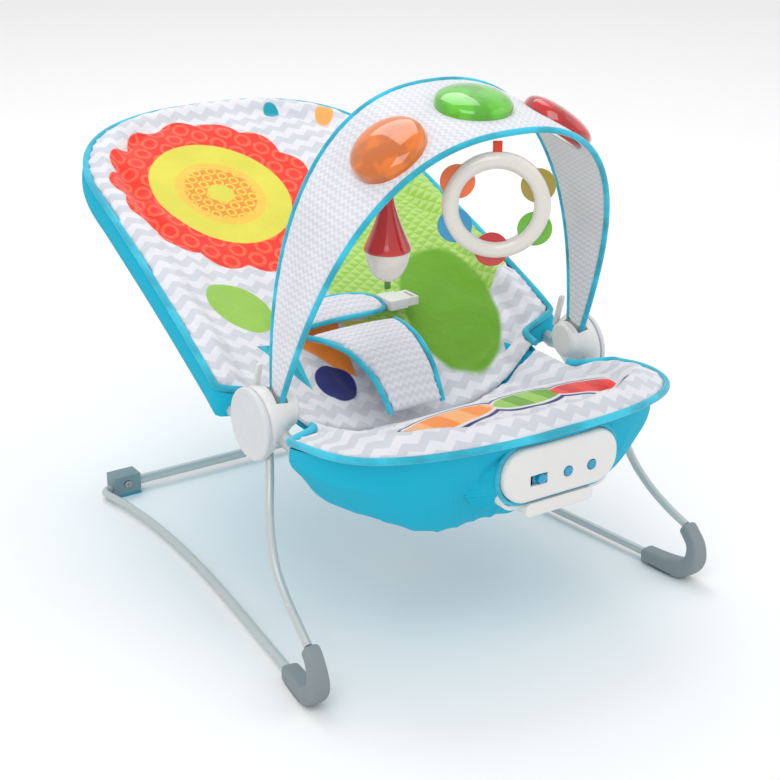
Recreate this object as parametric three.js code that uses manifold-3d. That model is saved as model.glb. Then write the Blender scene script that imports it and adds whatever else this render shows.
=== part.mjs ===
// A baby's bouncer seat: a sprung wire base, a reclined padded seat slung between two hubs, a lift-off
// toy bar with three glossy domes and two hanging toys, a waist and crotch restraint, a control unit at
// the front edge and a vibration box under the seat.
//
// Millimetres, +Z up, -Y at the foot (front) end, +X to the right as seen from the front, floor at Z = 0.
// "left" is the -X side. The last lines move the whole seat so that the origin is under the middle of
// its box.
import * as THREE from "three";
import Module from "manifold-3d";
import { mergeVertices } from "three/addons/utils/BufferGeometryUtils.js";

const wasm = await Module();
wasm.setup();

// ---------- driving dimensions ----------
const GAP = 0.3; // between pieces that touch
const WIRE_R = 4.25; // legs and floor rails
const SEAT_TUBE_R = 7; // back and front seat tubes
const CROSS_TUBE_R = 5.5;
const RAIL_Z = 9; // height of the floor wire's centre
const REAR_Y = 456; // rear cross tube

// A hub is a disc outside and a cone that leans forward and up to its nose beside the seat.
const HUB = {
  y: 100,
  z: 218.5,
  r: 35.5,
  face: 201, // the cover's outer face, the housing's rim and its nose, each as a distance from the middle
  rim: 194.6,
  nose: 160,
  noseR: 20,
  leanY: -12,
  leanZ: 15.5,
};
const FOOT = { x: 224.6, topY: -47, topZ: 60, width: 20, height: 17 };

const PAD = {
  frontHalf: 191, // half width at the seat
  backHalf: 203, // half width at the foot of the back, which narrows towards the head
  taper: 14,
  neck: 152, // half width between the hubs
  front: { y: -121, bend: 12, round: 2.4 }, // end, where its rounding starts, superellipse exponent
  head: { y: 575, bend: 428, round: 2.5 },
  split: 118, // sewn fold between seat and back
  thick: 14,
  hem: 6,
};

const SKIRT = { y: 25, half: 190, front: 143, rear: 112, low: 126, wall: 4, power: 3.4, round: 2.15 };
const BAR = {
  front: { half: 174, flare: 6.4, base: 243.5, rise: 256, power: 2.45 },
  rear: { half: 178, flare: 1, base: 252, rise: 270, power: 2.35 },
  frontY: 77.4, // the front edge leans forward from here
  lean: -0.42,
  rearY: 96,
};
// The two ends of the bow stand against these posts inside the hubs.
const POST = { x: 179.5, y: 118, z: 254, width: 6, depth: 4.5, height: 36, lean: 16 };
const DOME = { r: 36, height: 12, sink: 7, at: [62, 90, 118], along: [0.38, 0.46, 0.38] };
const RING = { major: 40.8, tube: 7.6, x: -15, y: -30, z: 433, turn: -33, hang: 491 };
const DISC = { r: 15.6, thick: 3, pinR: 2.2, clear: 0.4, at: [26, 148, 207, 265, 328] };
const MARACA = { x: -79, y: 48, hang: 484, neckZ: 444, wideZ: 382, r: 22, lowZ: 352 };
const WAIST = {
  from: -92,
  to: 32,
  front: 213,
  back: 247,
  low: 256,
  high: 268,
  bow: 0.0016, // how fast the pad drops to either side of its middle
  middle: -25,
  half: 5,
};
const UNIT = { half: 64, low: 183, high: 236, front: -119.5, seam: -109.5, back: -62 };
const BUTTONS = { z: 204, switchX: -24, middleX: 6, rightX: 33, capR: 4.6, proud: 1.8 };
const BOX = { y: 144.6, z: 87.7, width: 96, depth: 56, height: 40, tilt: -18, wall: 2.4 };

// ---------- finishes ----------
const finish = (color, roughness, metalness = 0) =>
  new THREE.MeshStandardMaterial({ color, roughness, metalness });
const FINISH = {
  wire: finish(0xb9bfbe, 0.35, 0.6),
  steel: finish(0x9a9c9d, 0.3, 0.9),
  shell: finish(0xdedddb, 0.45),
  rubber: finish(0x7c878b, 0.75),
  teal: finish(0x12b7d2, 0.6),
  pad: finish(0xd3d3d9, 0.9),
  skirt: finish(0x00aecb, 0.85),
  pearl: finish(0xe4e1da, 0.35),
  red: finish(0xd01414, 0.2),
  orange: finish(0xd96a10, 0.15),
  green: finish(0x6cc21c, 0.15),
  olive: finish(0x9c9414, 0.4),
  blue: finish(0x1e86b8, 0.4),
  board: finish(0x2c7a4b, 0.6),
  dark: finish(0x303234, 0.6),
};

// ---------- solid helpers ----------
const V = (x, y, z) => new THREE.Vector3(x, y, z);
const lerp = THREE.MathUtils.lerp;
const rad = THREE.MathUtils.degToRad;
const seat = new THREE.Group();

function add(name, geometry, material) {
  const mesh = new THREE.Mesh(geometry, material);
  mesh.name = name;
  seat.add(mesh);
}

function positionOnly(geometry) {
  const bare = geometry.index ? geometry.toNonIndexed() : geometry.clone();
  return mergeVertices(new THREE.BufferGeometry().setAttribute("position", bare.attributes.position), 1e-3);
}

function toSolid(geometry) {
  const bare = positionOnly(geometry);
  return new wasm.Manifold(
    new wasm.Mesh({
      numProp: 3,
      vertProperties: bare.attributes.position.array,
      triVerts: new Uint32Array(bare.index.array),
    }),
  );
}

function fromSolid(solid) {
  const mesh = solid.getMesh();
  return new THREE.BufferGeometry()
    .setAttribute("position", new THREE.BufferAttribute(new Float32Array(mesh.vertProperties), 3))
    .setIndex(new THREE.BufferAttribute(new Uint32Array(mesh.triVerts), 1));
}

// The base with every joined piece added, then every cut piece taken away.
function carve(base, cuts, joined = []) {
  let solid = toSolid(base);
  for (const piece of joined) solid = solid.add(toSolid(piece));
  for (const piece of cuts) solid = solid.subtract(toSolid(piece));
  return fromSolid(solid);
}

// The other hand of a piece: X changes sign and every triangle turns round to keep facing out.
function mirrored(geometry) {
  const other = positionOnly(geometry).scale(-1, 1, 1);
  const index = other.index.array;
  for (let i = 0; i < index.length; i += 3) [index[i], index[i + 1]] = [index[i + 1], index[i]];
  return other;
}

function addPair(name, leftGeometry, material) {
  add(name + "_left", leftGeometry, material);
  add(name + "_right", mirrored(leftGeometry), material);
}

function polygon(radius, sides) {
  const corners = Array.from({ length: sides }, (_, i) => {
    const a = (i / sides) * 2 * Math.PI;
    return new THREE.Vector2(radius * Math.cos(a), radius * Math.sin(a));
  });
  return new THREE.Shape(corners);
}

const sweep = (shape, curve, steps) =>
  new THREE.ExtrudeGeometry(shape, { extrudePath: curve, steps, bevelEnabled: false });
const smooth = (points, tension = 0.5) => new THREE.CatmullRomCurve3(points, false, "catmullrom", tension);
const tube = (points, radius, steps, sides = 8) => sweep(polygon(radius, sides), smooth(points), steps);
const rod = (from, to, radius, sides = 14) =>
  sweep(polygon(radius, sides), new THREE.LineCurve3(from, to), 1);

function box(width, depth, height, x, y, z) {
  return new THREE.BoxGeometry(width, depth, height).translate(x, y, z);
}

// A plate with rounded corners in the XZ plane, from y = front back over its depth, with eased edges.
function roundedPlate(halfWidth, low, high, radius, front, depth, ease = 0) {
  const w = halfWidth - ease;
  const z0 = low + ease;
  const z1 = high - ease;
  const r = Math.min(radius, (z1 - z0) / 2 - 0.01);
  const shape = new THREE.Shape();
  shape.moveTo(-w + r, z0);
  shape.lineTo(w - r, z0);
  shape.absarc(w - r, z0 + r, r, -Math.PI / 2, 0);
  shape.absarc(w - r, z1 - r, r, 0, Math.PI / 2);
  shape.absarc(-w + r, z1 - r, r, Math.PI / 2, Math.PI);
  shape.absarc(-w + r, z0 + r, r, Math.PI, 1.5 * Math.PI);
  const plate = new THREE.ExtrudeGeometry(shape, {
    depth: depth - 2 * ease,
    bevelEnabled: ease > 0,
    bevelThickness: ease,
    bevelSize: ease,
    bevelSegments: 1,
    curveSegments: 4,
  });
  return plate.translate(0, 0, ease).rotateX(Math.PI / 2).translate(0, front + depth, 0);
}

// A turned piece: [radius, height] pairs from the axis back to the axis, standing along +Z.
function turned(profile, sides) {
  const points = profile.map(([r, h]) => new THREE.Vector2(r, h));
  return new THREE.LatheGeometry(points, sides).rotateX(Math.PI / 2);
}

// A closed skin between two grids of points: over(u, v) faces out and under(u, v) closes it from behind.
function skin(nu, nv, over, under) {
  const row = nu + 1;
  const points = [];
  for (const side of [over, under])
    for (let j = 0; j <= nv; j++)
      for (let i = 0; i <= nu; i++) points.push(...side(i / nu, j / nv).toArray());
  const half = row * (nv + 1);
  const faces = [];
  const quad = (a, b, c, d) => faces.push(a, b, c, a, c, d);
  for (let j = 0; j < nv; j++)
    for (let i = 0; i < nu; i++) {
      const a = j * row + i;
      quad(a, a + 1, a + row + 1, a + row);
      quad(half + a, half + a + row, half + a + row + 1, half + a + 1);
    }
  const wall = (a, b) => quad(a, half + a, half + b, b);
  for (let i = 0; i < nu; i++) {
    wall(i, i + 1);
    wall(nv * row + i + 1, nv * row + i);
  }
  for (let j = 0; j < nv; j++) {
    wall((j + 1) * row, j * row);
    wall(j * row + nu, (j + 1) * row + nu);
  }
  return new THREE.BufferGeometry()
    .setAttribute("position", new THREE.Float32BufferAttribute(points, 3))
    .setIndex(faces);
}

// A height that runs smoothly through [y, z] pairs.
function profileThrough(pairs) {
  const line = new THREE.SplineCurve(pairs.map(([y, z]) => new THREE.Vector2(y, z)));
  const samples = line.getPoints(240);
  return (y) => {
    const next = Math.max(1, samples.findIndex((p) => p.x >= y));
    const a = samples[next - 1];
    const b = samples[next];
    return lerp(a.y, b.y, THREE.MathUtils.clamp((y - a.x) / (b.x - a.x), 0, 1));
  };
}

// ---------- seat shape ----------
// Height of the pad's outer rim, along the seat.
const rimZ = profileThrough([
  [-122, 246],
  [-60, 234.5],
  [0, 227.5],
  [60, 219],
  [130, 224],
  [190, 253],
  [300, 302],
  [400, 342],
  [500, 379],
  [577, 405],
]);
// Height of the pad's face along its middle, which sags between the tubes.
const sagZ = profileThrough([
  [-122, 252],
  [-80, 255],
  [-35, 249],
  [0, 222],
  [60, 187],
  [112, 172],
  [150, 187],
  [219, 228],
  [300, 274],
  [400, 324],
  [500, 370],
  [577, 407],
]);

// How far into the rounding of either end a place is, 0 in the straight stretch and 1 at the end.
const endOf = (y) => (y > PAD.split ? PAD.head : PAD.front);
const endShare = (y) => Math.max(0, (y - endOf(y).bend) / (endOf(y).y - endOf(y).bend));

// The side edges draw in between the hubs, and the back narrows towards the head.
function straightHalf(y) {
  const along = THREE.MathUtils.clamp((y - 150) / (PAD.head.bend - 150), 0, 1);
  const full = y > PAD.split ? PAD.backHalf - PAD.taper * along : PAD.frontHalf;
  const away = Math.min(1, Math.abs(y - HUB.y) / 62);
  return lerp(PAD.neck, full, THREE.MathUtils.smoothstep(away, 0.62, 1));
}

function rimShare(x, y) {
  const { round } = endOf(y);
  return Math.min(1, ((Math.abs(x) / straightHalf(y)) ** round + endShare(y) ** round) ** (1 / round));
}

function padHalf(y) {
  const { round } = endOf(y);
  return straightHalf(y) * (1 - endShare(y) ** round) ** (1 / round);
}

function padTop(x, y) {
  const share = rimShare(x, y);
  return sagZ(y) + (rimZ(y) + 7 - sagZ(y)) * share ** 3 - 5 * share ** 12;
}
const padUnder = (x, y) => padTop(x, y) - PAD.thick + (PAD.thick - PAD.hem) * rimShare(x, y) ** 5;

// A pad from the sewn fold to its rounded end, where its rows lie closer together.
function pad(foldY, endY, rows, columns) {
  const hand = Math.sign(endY - foldY);
  const place = (height) => (u, v) => {
    const y = lerp(foldY, endY, Math.sin((v * Math.PI) / 2));
    const x = hand * lerp(-1, 1, u) * padHalf(y);
    return V(x, y, height(x, y));
  };
  return skin(columns, rows, place(padTop), place(padUnder));
}

// ---------- base: cross tube, brackets, rails, boots ----------
const BRACKET = { x: 174, width: 32, depth: 22, low: 3.3, high: 25, wireIn: 13, tubeIn: 13 };

const bracketOuter = BRACKET.x + BRACKET.width / 2;
const bracketInner = BRACKET.x - BRACKET.width / 2;
const crossEnd = bracketInner + BRACKET.tubeIn - GAP;
const crossZ = 12;
const screwZ = 15;

function railPoints() {
  return [
    V(-217, 6, RAIL_Z),
    V(-209, 74, RAIL_Z),
    V(-199, 160, RAIL_Z),
    V(-191, 249, RAIL_Z),
    V(-189, 340, RAIL_Z),
    V(-194, 408, RAIL_Z),
    V(-200, REAR_Y - 12, RAIL_Z),
    V(-197, REAR_Y - 2, RAIL_Z),
    V(-bracketOuter, REAR_Y, RAIL_Z),
    V(-bracketOuter + BRACKET.wireIn - GAP, REAR_Y, RAIL_Z),
  ];
}

function bracket() {
  const block = box(BRACKET.width, BRACKET.depth, BRACKET.high - BRACKET.low, -BRACKET.x, REAR_Y, 14.15);
  const wireHole = rod(
    V(-bracketOuter - 1, REAR_Y, RAIL_Z),
    V(-bracketOuter + BRACKET.wireIn, REAR_Y, RAIL_Z),
    WIRE_R + 2 * GAP,
  );
  const tubeHole = rod(
    V(-bracketInner + 1, REAR_Y, crossZ),
    V(-bracketInner - BRACKET.tubeIn, REAR_Y, crossZ),
    CROSS_TUBE_R + GAP,
  );
  const front = REAR_Y - BRACKET.depth / 2;
  const screwHole = rod(V(-BRACKET.x, front - 1, screwZ), V(-BRACKET.x, REAR_Y + 6, screwZ), 1.8, 10);
  const seatHole = rod(V(-BRACKET.x, front - 1, screwZ), V(-BRACKET.x, front + 2, screwZ), 4.4, 12);
  return carve(block, [wireHole, tubeHole, screwHole, seatHole]);
}

function bracketScrew() {
  const front = REAR_Y - BRACKET.depth / 2;
  const shank = rod(V(-BRACKET.x, front + 1.5, screwZ), V(-BRACKET.x, REAR_Y + 5, screwZ), 1.4, 10);
  const head = rod(V(-BRACKET.x, front - 1.2, screwZ), V(-BRACKET.x, front + 1.7, screwZ), 4, 12);
  const slots = [
    box(5, 1.4, 1, -BRACKET.x, front - 1, screwZ),
    box(1, 1.4, 5, -BRACKET.x, front - 1, screwZ),
  ];
  return carve(head, slots, [shank]);
}

// The rubber boot round the wire's front bend: along the floor, round the toe and up to the leg.
function bootCurve() {
  return smooth([
    V(-217, 4, RAIL_Z - 0.4),
    V(-221, -28, RAIL_Z - 0.4),
    V(-224, -50, 13),
    V(-225, -62, 26),
    V(-225.5, -62, 42),
    V(-FOOT.x, -54, 54),
    V(-FOOT.x, FOOT.topY, FOOT.topZ),
  ]);
}

function boot() {
  const w = FOOT.width / 2;
  const h = FOOT.height / 2;
  const ease = 3;
  const section = new THREE.Shape([
    new THREE.Vector2(-h, -w + ease),
    new THREE.Vector2(-h + ease, -w),
    new THREE.Vector2(h - ease, -w),
    new THREE.Vector2(h, -w + ease),
    new THREE.Vector2(h, w - ease),
    new THREE.Vector2(h - ease, w),
    new THREE.Vector2(-h + ease, w),
    new THREE.Vector2(-h, w - ease),
  ]);
  const body = sweep(section, bootCurve(), 14);
  const heelSocket = rod(V(-216.2, 12, RAIL_Z), V(-218.6, -8, RAIL_Z), WIRE_R + 0.5);
  const legSocket = rod(V(-223.6, -41, 62.5), V(-226, -56, 54), WIRE_R + 1.1);
  const gripSlot = box(FOOT.width + 20, 34, 2, -FOOT.x, -24, 3.2);
  const floor = box(90, 160, 20, -FOOT.x, -30, -10);
  return carve(body, [heelSocket, legSocket, gripSlot, floor]);
}

function buildBase() {
  add(
    "rear_cross_tube",
    rod(V(-crossEnd, REAR_Y, crossZ), V(crossEnd, REAR_Y, crossZ), CROSS_TUBE_R, 12),
    FINISH.wire,
  );
  addPair("rail_wire", tube(railPoints(), WIRE_R, 24), FINISH.wire);
  addPair("rear_bracket", bracket(), FINISH.rubber);
  addPair("rear_foot_pad", box(BRACKET.width, BRACKET.depth, 3, -BRACKET.x, REAR_Y, 1.5), FINISH.teal);
  addPair("bracket_screw", bracketScrew(), FINISH.steel);
  addPair("foot_boot", boot(), FINISH.rubber);
}

// ---------- legs and hubs ----------
function legPoints() {
  return [
    V(-FOOT.x, FOOT.topY + 0.5, FOOT.topZ + 0.3),
    V(-221, -22, 71),
    V(-218, 5, 86),
    V(-215, 28, 106),
    V(-211, 43, 131),
    V(-205.5, 54, 154),
    V(-198.5, 65, 172),
    V(-191.5, 77, 187),
    V(-187, 86, 201),
  ];
}

// The seat tubes end inside the hubs. The front one is a shallow U, the back one a tall U on the recline.
function frontTubePoints() {
  const arc = [];
  for (let a = 0; a <= 180; a += 15) {
    const turn = rad(a);
    const across = -Math.sign(Math.cos(turn)) * Math.abs(Math.cos(turn)) ** 0.9;
    arc.push(V(170 * across, -8 - 80 * Math.sin(turn) ** 0.95, lerp(203, 221, Math.sin(turn))));
  }
  const side = [V(173, 28, 199), V(180, 62, 210), V(181, 84, 220)];
  return [...side.map((p) => V(-p.x, p.y, p.z)).reverse(), ...arc, ...side];
}

function backTubePoints() {
  const drop = 25;
  const inset = 11;
  const half = (y) => straightHalf(y) - inset;
  const { bend, y: headY } = PAD.head;
  const side = [];
  for (const y of [165, 200, 250, 310, 370]) side.push(V(-half(y), y, rimZ(y) - drop));
  const arc = [];
  for (let a = 0; a <= 180; a += 15) {
    const turn = rad(a);
    const y = bend + (headY - bend - inset) * Math.sin(turn) ** 0.85;
    const across = -Math.sign(Math.cos(turn)) * Math.abs(Math.cos(turn)) ** 0.85;
    arc.push(V(half(bend) * across, y, rimZ(y) - drop));
  }
  const other = side.map((p) => V(-p.x, p.y, p.z)).reverse();
  const root = [V(183, 108, 217), V(187, 137, 212)];
  return [...root.map((p) => V(-p.x, p.y, p.z)), ...side, ...arc, ...other, ...root.reverse()];
}

const frontTube = (radius) => tube(frontTubePoints(), radius, 30);
const backTube = (radius) => tube(backTubePoints(), radius, 42);

// The housing is a leaning cone from the outer cover to a rounded nose, with a stop post behind the slot
// that takes the end of the toy bar.
function hubHousing() {
  const { r, noseR, nose, rim } = HUB;
  const profile = [
    [0, nose],
    [noseR - 8, nose],
    [noseR - 2, nose + 3],
    [noseR, nose + 8],
    [r - 2.5, rim - 6],
    [r - 1, rim - 1],
    [r - 1, rim],
    [0, rim],
  ];
  const shell = turned(profile, 22).rotateY(-Math.PI / 2);
  const at = shell.attributes.position;
  for (let i = 0; i < at.count; i++) {
    const towardsNose = (at.getX(i) + rim) / (rim - nose);
    at.setY(i, at.getY(i) + HUB.y + HUB.leanY * towardsNose);
    at.setZ(i, at.getZ(i) + HUB.z + HUB.leanZ * towardsNose);
  }
  const post = box(POST.width, POST.depth, POST.height, 0, 0, 0)
    .rotateX(rad(POST.lean))
    .translate(-POST.x, POST.y, POST.z);
  const barSlot = barLayer(3, -8.4, -2, -17, 24, 2, 4);
  const legHole = tube(legPoints(), WIRE_R + 0.6, 16);
  return carve(shell, [frontTube(SEAT_TUBE_R + 0.5), backTube(SEAT_TUBE_R + 0.5), legHole, barSlot], [post]);
}

function hubCover() {
  const { r, rim, face } = HUB;
  const profile = [
    [0, rim + GAP],
    [r - 1.5, rim + GAP],
    [r, rim + 2],
    [r, face - 3],
    [r - 3, face],
    [0, face],
  ];
  return turned(profile, 24).rotateY(-Math.PI / 2).translate(0, HUB.y, HUB.z);
}

function buildFrame() {
  addPair("leg_wire", tube(legPoints(), WIRE_R, 16), FINISH.wire);
  addPair("hub_housing", hubHousing(), FINISH.shell);
  addPair("hub_cover", hubCover(), FINISH.shell);
  add("front_seat_tube", frontTube(SEAT_TUBE_R), FINISH.wire);
  add("back_seat_tube", backTube(SEAT_TUBE_R), FINISH.wire);
}

// ---------- soft goods ----------
// The pouch under the seat: a bowl from the pad's rim down to a low middle, open above.
function skirt() {
  const bowl = (inset) => (u, v) => {
    const a = u * 2 * Math.PI;
    const share = lerp(0.06, 1, v);
    const reach = Math.sin(a) < 0 ? SKIRT.front : SKIRT.rear;
    const power = 2 / SKIRT.round;
    const cos = Math.cos(a);
    const sin = Math.sin(a);
    const narrowed = share * (1 - (inset / SKIRT.half) * share);
    const y = SKIRT.y + narrowed * reach * Math.sign(sin) * Math.abs(sin) ** power;
    const wide = Math.min(SKIRT.half, straightHalf(y) - 1);
    const x = narrowed * wide * Math.sign(cos) * Math.abs(cos) ** power;
    const rim = Math.min(rimZ(y) - 1, padUnder(x, y) - 4);
    return V(x, y, lerp(SKIRT.low, rim, share ** SKIRT.power) + inset * (1 - share));
  };
  return ringSkin(28, 7, bowl(SKIRT.wall), bowl(0));
}

// A skin whose rows close on themselves, with a plug of two fans over its first row.
function ringSkin(around, rows, over, under) {
  const points = [];
  for (const side of [over, under])
    for (let j = 0; j <= rows; j++)
      for (let i = 0; i < around; i++) points.push(...side(i / around, j / rows).toArray());
  const half = around * (rows + 1);
  const faces = [];
  const quad = (a, b, c, d) => faces.push(a, b, c, a, c, d);
  for (let j = 0; j < rows; j++)
    for (let i = 0; i < around; i++) {
      const a = j * around + i;
      const b = j * around + ((i + 1) % around);
      quad(b, a, a + around, b + around);
      quad(half + a, half + b, half + b + around, half + a + around);
    }
  for (let i = 0; i < around; i++) {
    const a = rows * around + i;
    const b = rows * around + ((i + 1) % around);
    quad(b, a, half + a, half + b);
  }
  for (let i = 1; i < around - 1; i++) {
    faces.push(0, i, i + 1);
    faces.push(half, half + i + 1, half + i);
  }
  return new THREE.BufferGeometry()
    .setAttribute("position", new THREE.Float32BufferAttribute(points, 3))
    .setIndex(faces);
}

// A strap or thin pad that follows a line through the middle, with its own half width along it.
function strap(points, halfWidth, thick, columns, rows) {
  const line = smooth(points);
  const place = (side) => (u, v) => {
    const at = line.getPoint(v);
    const along = line.getTangent(v);
    const up = V(1, 0, 0).cross(along).normalize();
    const crown = 1 - 0.5 * Math.abs(2 * u - 1) ** 3;
    return at
      .clone()
      .add(V(lerp(-1, 1, u) * halfWidth(v), 0, 0))
      .addScaledVector(up, (side * thick * crown) / 2);
  };
  return skin(columns, rows, place(1), place(-1));
}

// The pad starts at the fold and widens up to the waist pad; its middle line lies a little to the left.
const CROTCH = { x: -3.6, low: 31, high: 52, widen: 1.4, thick: 9 };

function crotchPad() {
  const points = [
    V(0, 110, 188),
    V(-2, 117, 204),
    V(-4, 131, 223),
    V(-8, 155, 240),
    V(-12, 184, 246),
    V(-16, 206, 246),
  ].map((p) => p.add(V(CROTCH.x, 0, 0)));
  const halfWidth = (v) => lerp(CROTCH.low, CROTCH.high, v ** CROTCH.widen);
  return strap(points, halfWidth, CROTCH.thick, 8, 12);
}

// The waist pad lies across the lap, bowed up in the middle.
function waistPad() {
  const place = (side) => (u, v) => {
    const x = lerp(WAIST.from, WAIST.to, u);
    const y = lerp(WAIST.front, WAIST.back, v);
    const z = lerp(WAIST.low, WAIST.high, v) - WAIST.bow * (x - WAIST.middle) ** 2;
    const crown = 1 - 0.6 * Math.abs(2 * v - 1) ** 3;
    return V(x, y, z + side * WAIST.half * crown);
  };
  return skin(10, 5, place(1), place(-1));
}

const BUCKLE = { x: 44, y: 229, z: 257 };

function buckleSocket() {
  const shell = box(22, 30, 11, BUCKLE.x, BUCKLE.y, BUCKLE.z);
  const mouth = box(17, 20, 6, BUCKLE.x + 5.5, BUCKLE.y, BUCKLE.z);
  return carve(shell, [mouth]);
}

function buckleTongue() {
  const head = box(14, 26, 9, BUCKLE.x + 11.3 + 7, BUCKLE.y, BUCKLE.z);
  const blade = box(14, 12, 4.6, BUCKLE.x + 6.4, BUCKLE.y, BUCKLE.z);
  const slot = box(4, 18, 20, BUCKLE.x + 21, BUCKLE.y, BUCKLE.z);
  return carve(head, [slot], [blade]);
}

function buildSoftGoods() {
  add("seat_pad", pad(PAD.split, PAD.front.y + 0.4, 13, 12), FINISH.pad);
  add("back_pad", pad(PAD.split + GAP, PAD.head.y - 0.4, 17, 12), FINISH.pad);
  const unitRoom = box(2 * UNIT.half + 5, 80, 80, 0, -100, 203);
  const boxRoom = box(BOX.width + 4, BOX.depth + 4, BOX.height + 4, 0, 0, 0)
    .rotateX(rad(BOX.tilt))
    .translate(0, BOX.y, BOX.z);
  add("under_seat_pouch", carve(skirt(), [unitRoom, boxRoom, frontTube(SEAT_TUBE_R + 1)]), FINISH.skirt);
  add("crotch_pad", crotchPad(), FINISH.pad);
  add("waist_pad", waistPad(), FINISH.pad);
  add("buckle_socket", buckleSocket(), FINISH.shell);
  add("buckle_tongue", buckleTongue(), FINISH.shell);
}

// ---------- control unit ----------
function unitCover() {
  const depth = UNIT.seam - UNIT.front;
  const outer = roundedPlate(UNIT.half, UNIT.low, UNIT.high, 24, UNIT.front, depth, 2.5);
  const inner = roundedPlate(UNIT.half - 2.4, UNIT.low + 2.4, UNIT.high - 2.4, 22, UNIT.front + 2.6, depth);
  const hole = (x) =>
    rod(V(x, UNIT.front - 2, BUTTONS.z), V(x, UNIT.front + 6, BUTTONS.z), BUTTONS.capR + 0.6);
  const slot = box(19, 12, 10.4, BUTTONS.switchX - 3, UNIT.front, BUTTONS.z);
  return carve(outer, [inner, hole(BUTTONS.middleX), hole(BUTTONS.rightX), slot]);
}

function unitCase() {
  const front = UNIT.seam + GAP;
  const depth = UNIT.back - front;
  const shell = roundedPlate(UNIT.half - 1, UNIT.low - 8, UNIT.high - 25, 16, front, depth);
  const cavity = roundedPlate(UNIT.half - 3.4, UNIT.low - 4, UNIT.high - 27.4, 14, front - 2, depth);
  const rim = roundedPlate(UNIT.half, UNIT.low, UNIT.high - 1.5, 22, front, 3);
  const window = roundedPlate(UNIT.half - 3.4, UNIT.low + 2.4, UNIT.high - 3, 22, front - 2, 8);
  const lip = roundedPlate(38, UNIT.low - 16, UNIT.low - 3, 5, UNIT.front + 3, 30);
  const doorRoom = box(61, 20, 6, 0, -92, UNIT.low - 15.5);
  return carve(shell, [cavity, window, doorRoom], [rim, lip]);
}

// A push button: a domed cap through the cover and a wider flange behind it.
function pushButton(x) {
  const cap = turned(
    [
      [0, 0],
      [BUTTONS.capR - 1.6, 0.2],
      [BUTTONS.capR, 1.6],
      [BUTTONS.capR, 6.4],
      [BUTTONS.capR + 1.4, 6.4],
      [BUTTONS.capR + 1.4, 7.4],
      [0, 7.4],
    ],
    16,
  );
  return cap.rotateX(-Math.PI / 2).translate(x, UNIT.front - BUTTONS.proud, BUTTONS.z);
}

function slideSwitch() {
  const plate = box(16, 1.2, 12, BUTTONS.switchX, UNIT.front + 3.5, BUTTONS.z);
  const knob = roundedPlate(4.8, BUTTONS.z - 4.4, BUTTONS.z + 4.4, 3.5, UNIT.front - 2, 5.4, 0.8);
  return carve(knob.translate(BUTTONS.switchX, 0, 0), [], [plate]);
}

function buildUnit() {
  add("unit_front_cover", unitCover(), FINISH.shell);
  add("unit_rear_case", unitCase(), FINISH.shell);
  add("unit_battery_door", box(60, 19, 2, 0, -92, UNIT.low - 15), FINISH.shell);
  add("power_switch", slideSwitch(), FINISH.teal);
  add("music_button", pushButton(BUTTONS.middleX), FINISH.teal);
  add("volume_button", pushButton(BUTTONS.rightX), FINISH.teal);
  add("circuit_board", box(104, 1.6, 22, 0, -105.5, 193), FINISH.board);
  const cone = turned([[0, 0], [7, 0], [8, 5], [13, 7], [13, 9], [0, 9]], 18);
  add("speaker", cone.rotateX(Math.PI / 2).translate(28, -90, 193), FINISH.dark);
}

// ---------- vibration box under the seat ----------
// Its pieces are modelled level about its own middle and tilted with the seat.
function inBox(geometry) {
  return geometry.rotateX(rad(BOX.tilt)).translate(0, BOX.y, BOX.z);
}

function buildVibrationBox() {
  const { width, depth, height, wall } = BOX;
  const outer = box(width, depth, height - 3, 0, 0, 1.5);
  const inner = box(width - 2 * wall, depth - 2 * wall, height - 3, 0, 0, 1.5 - wall);
  const lidZ = -height / 2 + 1.35;
  add("vibration_case", inBox(carve(outer, [inner])), FINISH.shell);
  const screwHole = rod(V(40, 0, lidZ - 3), V(40, 0, lidZ + 3), 2.2, 10);
  add("vibration_lid", inBox(carve(box(width, depth, 2.7, 0, 0, lidZ), [screwHole])), FINISH.shell);
  const shank = rod(V(40, 0, lidZ - 2), V(40, 0, lidZ + 9), 1.6, 10);
  const head = rod(V(40, 0, lidZ - 3.2), V(40, 0, lidZ - 1.6), 3.6, 12);
  add("lid_screw", inBox(carve(shank, [], [head])), FINISH.steel);
  add("battery", inBox(rod(V(-42, -9, 0), V(14, -9, 0), 14.5, 18)), FINISH.dark);
  add("vibration_motor", inBox(rod(V(20, 14, 0), V(38, 14, 0), 9, 16)), FINISH.steel);
  // The half-round weight hangs straight down on the tilted motor's shaft.
  const weight = carve(rod(V(-3.25, 0, 0), V(3.25, 0, 0), 7.5, 18), [box(8, 16, 16, 0, 0, 8.9)]);
  const shaft = V(15.25, 14, 0).applyAxisAngle(V(1, 0, 0), rad(BOX.tilt));
  add("motor_weight", weight.translate(shaft.x, shaft.y + BOX.y, shaft.z + BOX.z), FINISH.steel);
}

// ---------- toy bar ----------
// The bar's fabric band is ruled between a front edge and a rear edge, each a superellipse arch. The angle
// runs from the left hub (0) over the top (90) to the right hub (180).
function barEdge(edge, degrees) {
  const angle = THREE.MathUtils.clamp(degrees, 0, 180);
  const c = Math.cos(rad(angle));
  const s = Math.max(0, Math.sin(rad(angle)));
  const height = s ** (2 / edge.power);
  const half = edge.half + edge.flare * (1 - height) ** 3;
  const below = Math.abs(degrees - angle); // past either end the edge runs straight down, 1 mm a degree
  return [-half * Math.sign(c) * Math.abs(c) ** (2 / edge.power), edge.base + edge.rise * height - below];
}

function barPoint(degrees, across) {
  const [fx, fz] = barEdge(BAR.front, degrees);
  const [rx, rz] = barEdge(BAR.rear, degrees);
  const front = V(fx, BAR.frontY + BAR.lean * (fz - BAR.front.base), fz);
  return front.lerp(V(rx, BAR.rearY, rz), across);
}

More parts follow.
